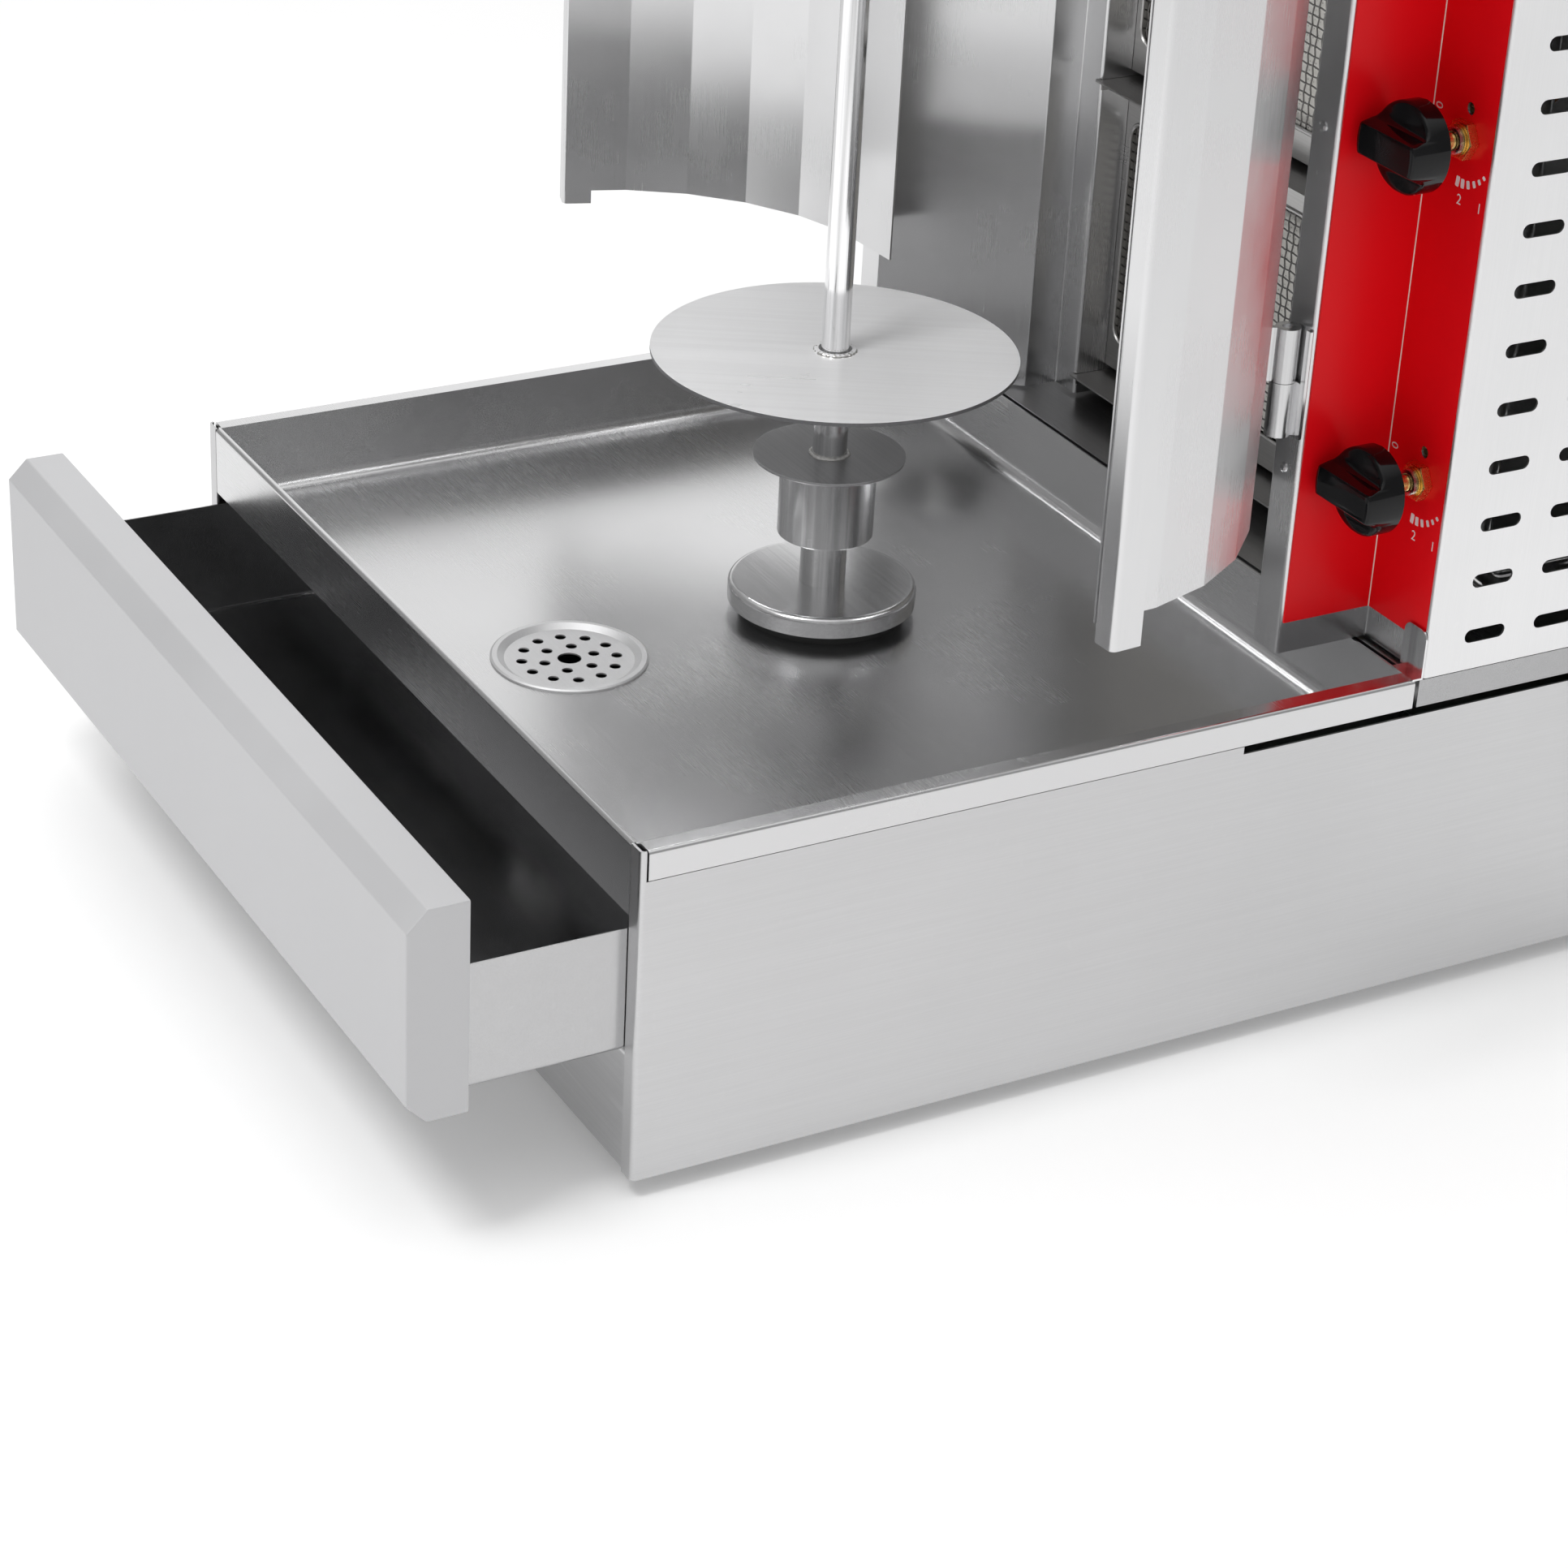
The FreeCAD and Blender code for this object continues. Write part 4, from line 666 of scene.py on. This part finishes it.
def mesh_from(name, verts, faces, angle=smooth_angle, merge=fine_merge):
    """Closed mesh from corner and face lists, with merged corners and outward faces."""
    shape = bmesh.new()
    made = [shape.verts.new(v) for v in verts]
    for face in faces:
        shape.faces.new([made[i] for i in face])
    bmesh.ops.remove_doubles(shape, verts=shape.verts, dist=merge)
    bmesh.ops.recalc_face_normals(shape, faces=shape.faces)
    mesh = bpy.data.meshes.new(name)
    shape.to_mesh(mesh)
    shape.free()
    smooth_by_angle(mesh, angle)
    return mesh


def softened(node, width):
    """Copy of a node with its sharp edges rounded."""
    shape = bmesh.new()
    shape.from_mesh(nodes[node].data)
    bmesh.ops.remove_doubles(shape, verts=shape.verts, dist=coarse_merge)
    bmesh.ops.dissolve_limit(shape, angle_limit=math.radians(flat_angle),
                             verts=shape.verts, edges=shape.edges)
    limit = math.radians(sharp_angle)
    sharp = [e for e in shape.edges if len(e.link_faces) == 2 and e.calc_face_angle() > limit]
    bmesh.ops.bevel(shape, geom=sharp, offset=width * MM, offset_type="OFFSET", segments=2,
                    profile=bevel_profile, affect="EDGES", clamp_overlap=True, miter_outer="ARC")
    bmesh.ops.triangulate(shape, faces=[f for f in shape.faces if len(f.verts) > 4])
    name = f"{node}_finished"
    mesh = bpy.data.meshes.new(name)
    shape.to_mesh(mesh)
    shape.free()
    weigh_normals(mesh)
    return new_piece(name, mesh, look_of_node[node], body_of_node[node], (node,))


def evaluated_mesh(item):
    """Mesh of an object as its modifiers or its text shape it."""
    bpy.context.view_layer.update()
    return bpy.data.meshes.new_from_object(item.evaluated_get(bpy.context.evaluated_depsgraph_get()))


def band(here, there, count):
    """Faces between two rings of corners, each given by its first corner."""
    return [(here + s, here + (s + 1) % count, there + (s + 1) % count, there + s) for s in range(count)]


def add_tube(verts, faces, points, radius, sides, up, closed=False):
    """Append a tube along points that lie in the plane square to up."""
    start = len(verts)
    count = len(points)
    for k, point in enumerate(points):
        before = points[k - 1] if closed or k else point
        after = points[(k + 1) % count] if closed or k + 1 < count else point
        out = (after - before).normalized().cross(up)
        for s in range(sides):
            turn = 2 * math.pi * (s + 0.5) / sides
            verts.append(point + (out * math.cos(turn) + up * math.sin(turn)) * radius)
    for k in range(count if closed else count - 1):
        faces += band(start + k * sides, start + (k + 1) % count * sides, sides)
    if not closed:
        faces.append(tuple(start + s for s in range(sides)))
        faces.append(tuple(start + (count - 1) * sides + s for s in range(sides)))


def arc(centre, radius, first, last, steps):
    """Points of a plane arc, angles in degrees."""
    turns = [math.radians(first + (last - first) * k / steps) for k in range(steps + 1)]
    return [(centre[0] + radius * math.cos(a), centre[1] + radius * math.sin(a)) for a in turns]


def round_rectangle(middle, half_wide, half_high, radius, steps):
    """Outline of a rectangle with round corners."""
    outline = []
    for right, up, first in ((1, 1, 0), (-1, 1, 90), (-1, -1, 180), (1, -1, 270)):
        corner = (middle[0] + right * (half_wide - radius), middle[1] + up * (half_high - radius))
        outline += arc(corner, radius, first, first + 90, steps)
    return outline


def spun(profile, centre, axis, steps):
    """Corners and faces of a closed ring turned from (radius, travel) points about an axis."""
    side = axis.orthogonal().normalized()
    other = axis.cross(side)
    verts, faces = [], []
    for k in range(steps):
        turn = 2 * math.pi * k / steps
        out = side * math.cos(turn) + other * math.sin(turn)
        verts += [centre + out * r + axis * h for r, h in profile]
    count = len(profile)
    for k in range(steps):
        faces += band(k * count, (k + 1) % steps * count, count)
    return verts, faces


# Wrap-round cover

def sheet_section(path, thickness, inner, steps):
    """Outline of a bent sheet to the left of a path of its outer face, with round bends to the left."""
    outer_side, inner_side = [], []
    outer = inner + thickness
    for k, (x, y) in enumerate(path):
        point = Vector((x, y))
        if k in (0, len(path) - 1):
            ahead = (Vector(path[1]) - point) if k == 0 else (point - Vector(path[-2]))
            left = ahead.normalized().orthogonal()
            outer_side.append(point)
            inner_side.append(point + left * thickness)
            continue
        first = (point - Vector(path[k - 1])).normalized()
        second = (Vector(path[k + 1]) - point).normalized()
        centre = point - first * outer + second * outer
        heading = math.degrees(math.atan2(first.y, first.x)) - 90
        outer_side += [Vector(p) for p in arc(centre, outer, heading, heading + 90, steps)]
        inner_side += [Vector(p) for p in arc(centre, inner, heading, heading + 90, steps)]
    return outer_side + inner_side[::-1]


def raised(outline, low, high, place):
    """Corners and faces of a prism; place turns (a, b, height) into a point."""
    count = len(outline)
    verts = [place(a, b, low) for a, b in outline] + [place(a, b, high) for a, b in outline]
    return verts, band(0, count, count) + [tuple(range(count)), tuple(range(count, 2 * count))]


def joined(parts):
    """One list of corners and faces from several."""
    verts, faces = [], []
    for more_verts, more_faces in parts:
        base = len(verts)
        verts += more_verts
        faces += [tuple(base + i for i in face) for face in more_faces]
    return verts, faces


def slot_cutters():
    """Round-ended bars through both sides of the cover, and one round bar for the gas inlet."""
    half = (slot_length - slot_height) / 2 * MM
    r = slot_height / 2 * MM
    reach = half_width + cutter_margin * MM
    bars = []
    z = rim_z + slot_first_height * MM
    while z < cover_high.z - slot_top_margin * MM:
        for k in range(slot_columns):
            y = cover_low.y + (slot_first_setback + slot_column_pitch * k) * MM
            outline = arc((y + half, z), r, -90, 90, slot_round_steps)
            outline += arc((y - half, z), r, 90, 270, slot_round_steps)
            bars.append(raised(outline, -reach, reach, lambda a, b, h: Vector((h, a, b))))
        z += slot_row_pitch * MM
    inlet = box_middle("gas_inlet")
    last = 360 - 360 / inlet_hole_steps
    ring = arc((inlet.x, inlet.z), inlet_hole_radius * MM, 0, last, inlet_hole_steps - 1)
    near, far = cover_high.y - cutter_margin * MM, cover_high.y + cutter_margin * MM
    bars.append(raised(ring, near, far, lambda a, b, h: Vector((a, h, b))))
    return bars


def make_cover():
    """Bent cover sheet with round-ended cooling slots."""
    x, y0, y1 = half_width, cover_low.y, cover_high.y
    lip = cover_return * MM
    path = [(x - lip, y0), (x, y0), (x, y1), (-x, y1), (-x, y0), (-x + lip, y0)]
    outline = sheet_section(path, cover_sheet * MM, cover_bend * MM, cover_bend_steps)
    sheet = raised(outline, cover_low.z, cover_high.z, lambda a, b, h: Vector((a, b, h)))
    body = bpy.data.objects.new("sheet", mesh_from("rear_cover_finished", *sheet))
    tool = bpy.data.objects.new("slots", mesh_from("slots", *joined(slot_cutters())))
    for item in (body, tool):
        bpy.context.scene.collection.objects.link(item)
    cut = body.modifiers.new("slots", "BOOLEAN")
    cut.operation = "DIFFERENCE"
    cut.solver = "EXACT"
    cut.object = tool
    mesh = evaluated_mesh(body)
    mesh.name = "rear_cover_finished"
    for item in (body, tool):
        bpy.data.objects.remove(item)
    weigh_normals(mesh, cover_smooth_angle)
    new_piece("rear_cover_finished", mesh, "cover", "frame", ("rear_cover",))


# Burner guards

def burner_windows():
    """Centre height, half width and half height of each burner window, from the guards' boxes."""
    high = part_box("burner_meshes")[1]
    heights = [box_middle(f"knob_{number}").z for number in knob_numbers]
    return [(z, high.x, high.z - heights[-1]) for z in heights]


def make_guards():
    """Woven wire guard in each burner window."""
    verts, faces = [], []
    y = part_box("burner_housings")[0].y + guard_setback * MM
    wave = mesh_wave * MM
    for z, half_wide, half_high in burner_windows():
        columns = round(2 * half_wide / (mesh_pitch * MM))
        rows = round(2 * half_high / (mesh_pitch * MM))
        xs = [half_wide * (2 * k / columns - 1) for k in range(columns + 1)]
        zs = [z + half_high * (2 * k / rows - 1) for k in range(rows + 1)]
        for i in range(1, columns):
            points = [Vector((xs[i], y + wave * (-1) ** (i + j), zs[j])) for j in range(rows + 1)]
            add_tube(verts, faces, points, mesh_wire * MM, mesh_sides, X_AXIS)
        for j in range(1, rows):
            points = [Vector((xs[i], y - wave * (-1) ** (i + j), zs[j])) for i in range(columns + 1)]
            add_tube(verts, faces, points, mesh_wire * MM, mesh_sides, Z_AXIS)
    mesh = mesh_from("burner_guards", verts, faces, guard_smooth_angle)
    new_piece("burner_guards", mesh, "wire", "frame", ("burner_meshes",))


def make_window_rims():
    """Pressed round rim along the edge of each burner window."""
    verts, faces = [], []
    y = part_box("burner_housings")[0].y
    for z, half_wide, half_high in burner_windows():
        wide, high = half_wide - guard_margin * MM, half_high - guard_margin * MM
        ring = round_rectangle((0.0, z), wide, high, window_corner * MM, window_corner_steps)
        points = [Vector((a, y, b)) for a, b in ring]
        add_tube(verts, faces, points, rim_bead * MM, rim_sides, Y_AXIS, closed=True)
    new_piece("burner_window_rims", mesh_from("burner_window_rims", verts, faces), "heated", "frame")


# Controls

def knob_profile(radius, front, skirt_front):
    """Half outline across the grip bar as (height, depth): bar face, side, root curve and skirt face."""
    edge = grip_edge_round * MM
    root = grip_root_round * MM
    half, base = grip_front_half * MM, grip_root_half * MM
    points = [(0.0, front), (half * grip_flat_share, front)]
    for k in range(grip_edge_steps + 1):
        a = math.radians(90 * k / grip_edge_steps)
        points.append((half - edge + edge * math.sin(a), front + edge - edge * math.cos(a)))
    for k in range(grip_root_steps + 1):
        a = math.radians(90 * k / grip_root_steps)
        points.append((base + root - root * math.cos(a), skirt_front - root + root * math.sin(a)))
    start = base + root
    for k in range(1, skirt_steps + 1):
        share = k / skirt_steps
        points.append((start + (radius - start) * share, skirt_front + skirt_rise * MM * share ** 2))
    return points


def knob_front(centre, radius, rows):
    """Corners of a knob's front, row by row across the grip bar, with a rounded skirt edge."""
    edge = skirt_edge_round * MM
    shares = [math.sin(math.radians(90 * k / cross_steps)) for k in range(-cross_steps, cross_steps + 1)]
    corners = []
    for across, depth in rows:
        chord = math.sqrt(max(0.0, radius ** 2 - across ** 2))
        for share in shares:
            x = chord * share
            near = edge - min(edge, max(0.0, radius - math.hypot(x, across)))
            drop = edge - math.sqrt(edge ** 2 - near ** 2)
            corners.append(Vector((centre.x + x, depth + drop, centre.z + across)))
    return corners


def make_knob(number):
    """Glossy knob: round skirt, level grip bar that flares into it, and a blind bore."""
    name = f"knob_{number}"
    low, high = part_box(name)
    centre = (low + high) / 2
    radius = (high.z - low.z) / 2
    half = knob_profile(radius, low.y, high.y - skirt_thickness * MM)
    rows = [(-a, b) for a, b in half[:0:-1]] + half
    verts = knob_front(centre, radius, rows)
    wide, tall = 2 * cross_steps + 1, len(rows)
    faces = [(r * wide + c, r * wide + c + 1, (r + 1) * wide + c + 1, (r + 1) * wide + c)
             for r in range(tall - 1) for c in range(wide - 1)]
    border = [r * wide for r in range(tall)]
    border += [r * wide + wide - 1 for r in range(tall - 2, 0, -1)]
    rings = [border]
    bore, bevel = bore_radius * MM, back_edge_bevel * MM
    for ring_radius, depth in ((radius, high.y - bevel), (radius - bevel, high.y), (bore, high.y),
                               (bore, high.y - bore_depth * MM)):
        ring = []
        for index in border:
            away = verts[index] - centre
            out = Vector((away.x, 0, away.z)).normalized() * ring_radius
            ring.append(len(verts))
            verts.append(Vector((centre.x + out.x, depth, centre.z + out.z)))
        rings.append(ring)
    count = len(border)
    for one, other in zip(rings, rings[1:]):
        faces += [(one[k - 1], one[k], other[k], other[k - 1]) for k in range(count)]
    faces.append(tuple(rings[-1]))
    mesh = mesh_from(f"{name}_moulded", verts, faces, knob_smooth_angle, coarse_merge)
    new_piece(f"{name}_moulded", mesh, "black", name, (name,))


def make_valve_necks():
    """Threaded steel neck of each tap, standing out of its brass nut."""
    parts = []
    nut_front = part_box("panel_nuts")[0].y
    profile = [(neck_inner, neck_sunk), (neck_inner, -neck_length), (neck_groove, -neck_length)]
    for k in range(thread_turns):
        travel = -neck_length + thread_start + thread_pitch * k
        profile += [(neck_outer, travel), (neck_outer, travel + thread_crest)]
        profile.append((neck_groove, travel + thread_foot))
    profile.append((neck_groove, neck_sunk))
    for number in knob_numbers:
        knob = box_middle(f"knob_{number}")
        centre = Vector((knob.x, nut_front, knob.z))
        parts.append(spun([(r * MM, h * MM) for r, h in profile], centre, Y_AXIS, neck_steps))
    new_piece("valve_necks", mesh_from("valve_necks", *joined(parts)), "turned", "frame")


def make_ticks():
    """White tick marks on the red panel beside each knob."""
    parts = []
    for number in knob_numbers:
        knob = box_middle(f"knob_{number}")
        for angle, tall, wide in zip(tick_angles, tick_long, tick_wide):
            a = math.radians(angle)
            out = Vector((math.cos(a), 0, math.sin(a)))
            side = Vector((-math.sin(a), 0, math.cos(a)))
            middle = Vector((knob.x, recess_y, knob.z)) + out * tick_radius * MM
            outline = round_rectangle((0, 0), tall / 2, wide / 2, tick_corner, tick_corner_steps)
            verts, faces = raised(outline, -mark_proud, mark_sunk, lambda a, b, h: Vector((a, b, h)))
            placed = [middle + (out * v.x + side * v.y + Y_AXIS * v.z) * MM for v in verts]
            parts.append((placed, faces))
    new_piece("panel_ticks", mesh_from("panel_ticks", *joined(parts)), "print", "frame")


def digit_mesh(text, x, z, turn):
    """Printed digit on the red panel, facing the operator."""
    data = bpy.data.curves.new("digit", "FONT")
    data.body = text
    data.size = digit_height * MM
    data.extrude = mark_proud / 2 * MM
    data.resolution_u = digit_curve_steps
    data.align_x = "CENTER"
    data.align_y = "CENTER"
    source = bpy.data.objects.new("digit", data)
    bpy.context.scene.collection.objects.link(source)
    mesh = evaluated_mesh(source)
    bpy.data.objects.remove(source)
    place = Matrix.Translation((x, recess_y - mark_proud / 2 * MM, z))
    upright = Matrix.Rotation(math.radians(90), 4, "X")
    mesh.transform(place @ upright @ Matrix.Rotation(math.radians(turn), 4, "Z"))
    return mesh


def make_digits():
    """Digits beside every knob."""
    merged = bmesh.new()
    for number in knob_numbers:
        knob = box_middle(f"knob_{number}")
        for text, right, up, turn in digit_rows:
            mesh = digit_mesh(text, knob.x + right * MM, knob.z + up * MM, turn)
            merged.from_mesh(mesh)
            bpy.data.meshes.remove(mesh)
    bmesh.ops.remove_doubles(merged, verts=merged.verts, dist=fine_merge)
    mesh = bpy.data.meshes.new("panel_digits")
    merged.to_mesh(mesh)
    merged.free()
    new_piece("panel_digits", mesh, "print", "frame")


def make_panel_highlight():
    """Pale line painted down the corner bend of the red panel as its highlight."""
    low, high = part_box("red_panel")
    x = low.x + highlight_setback * MM
    points = [Vector((x, recess_y, low.z)), Vector((x, recess_y, high.z))]
    verts, faces = [], []
    add_tube(verts, faces, points, highlight_radius * MM, highlight_sides, Y_AXIS)
    new_piece("panel_painted_highlight", mesh_from("panel_painted_highlight", verts, faces), "painted_highlight", "frame")


# Welds

def make_bead(name, centre, ring, body):
    """Uneven weld bead round an upright axis."""
    major, minor = ring
    verts, faces = [], []
    for k in range(bead_steps):
        turn = 2 * math.pi * k / bead_steps
        out = Vector((math.cos(turn), math.sin(turn), 0))
        seed = Vector((math.cos(turn) * bead_lumps, math.sin(turn) * bead_lumps, major))
        swell = bead_swell * mathutils.noise.noise(seed)
        thick = minor * (1 + swell + bead_ripple * math.cos(turn * bead_ripples))
        wander_seed = seed * bead_wander_pace + Z_AXIS * bead_wander_seed
        middle = major + bead_wander * mathutils.noise.noise(wander_seed)
        for s in range(bead_sides):
            a = 2 * math.pi * s / bead_sides
            rise = thick * bead_flatness * math.sin(a)
            verts.append(centre + (out * (middle + thick * math.cos(a)) + Z_AXIS * rise) * MM)
        faces += band(k * bead_sides, (k + 1) % bead_steps * bead_sides, bead_sides)
    new_piece(name, mesh_from(name, verts, faces, bead_smooth_angle), "bead", body)


def make_welds():
    """Beads where the meat plate's ring and the spit's tube are welded on."""
    axis = box_middle("spit_plate")
    plate_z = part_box("spit_plate")[0].z + plate_bead_height * MM
    disc_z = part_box("drip_disc")[1].z
    make_bead("plate_weld", Vector((axis.x, axis.y, plate_z)), plate_bead, "spit")
    make_bead("tube_weld", Vector((axis.x, axis.y, disc_z)), tube_bead, "spit")


make_camera()
make_floor()
make_lamp()
make_surround()
dress_nodes()
for node_name, edge_round in edge_rounds.items():
    softened(node_name, edge_round)
darken_rim(softened("spit_plate", plate_edge_round), "spit_plate")
make_cover()
make_guards()
make_window_rims()
for knob_number in knob_numbers:
    make_knob(knob_number)
make_valve_necks()
make_ticks()
make_digits()
make_panel_highlight()
make_welds()

bpy.context.scene.view_settings.view_transform = "Standard"
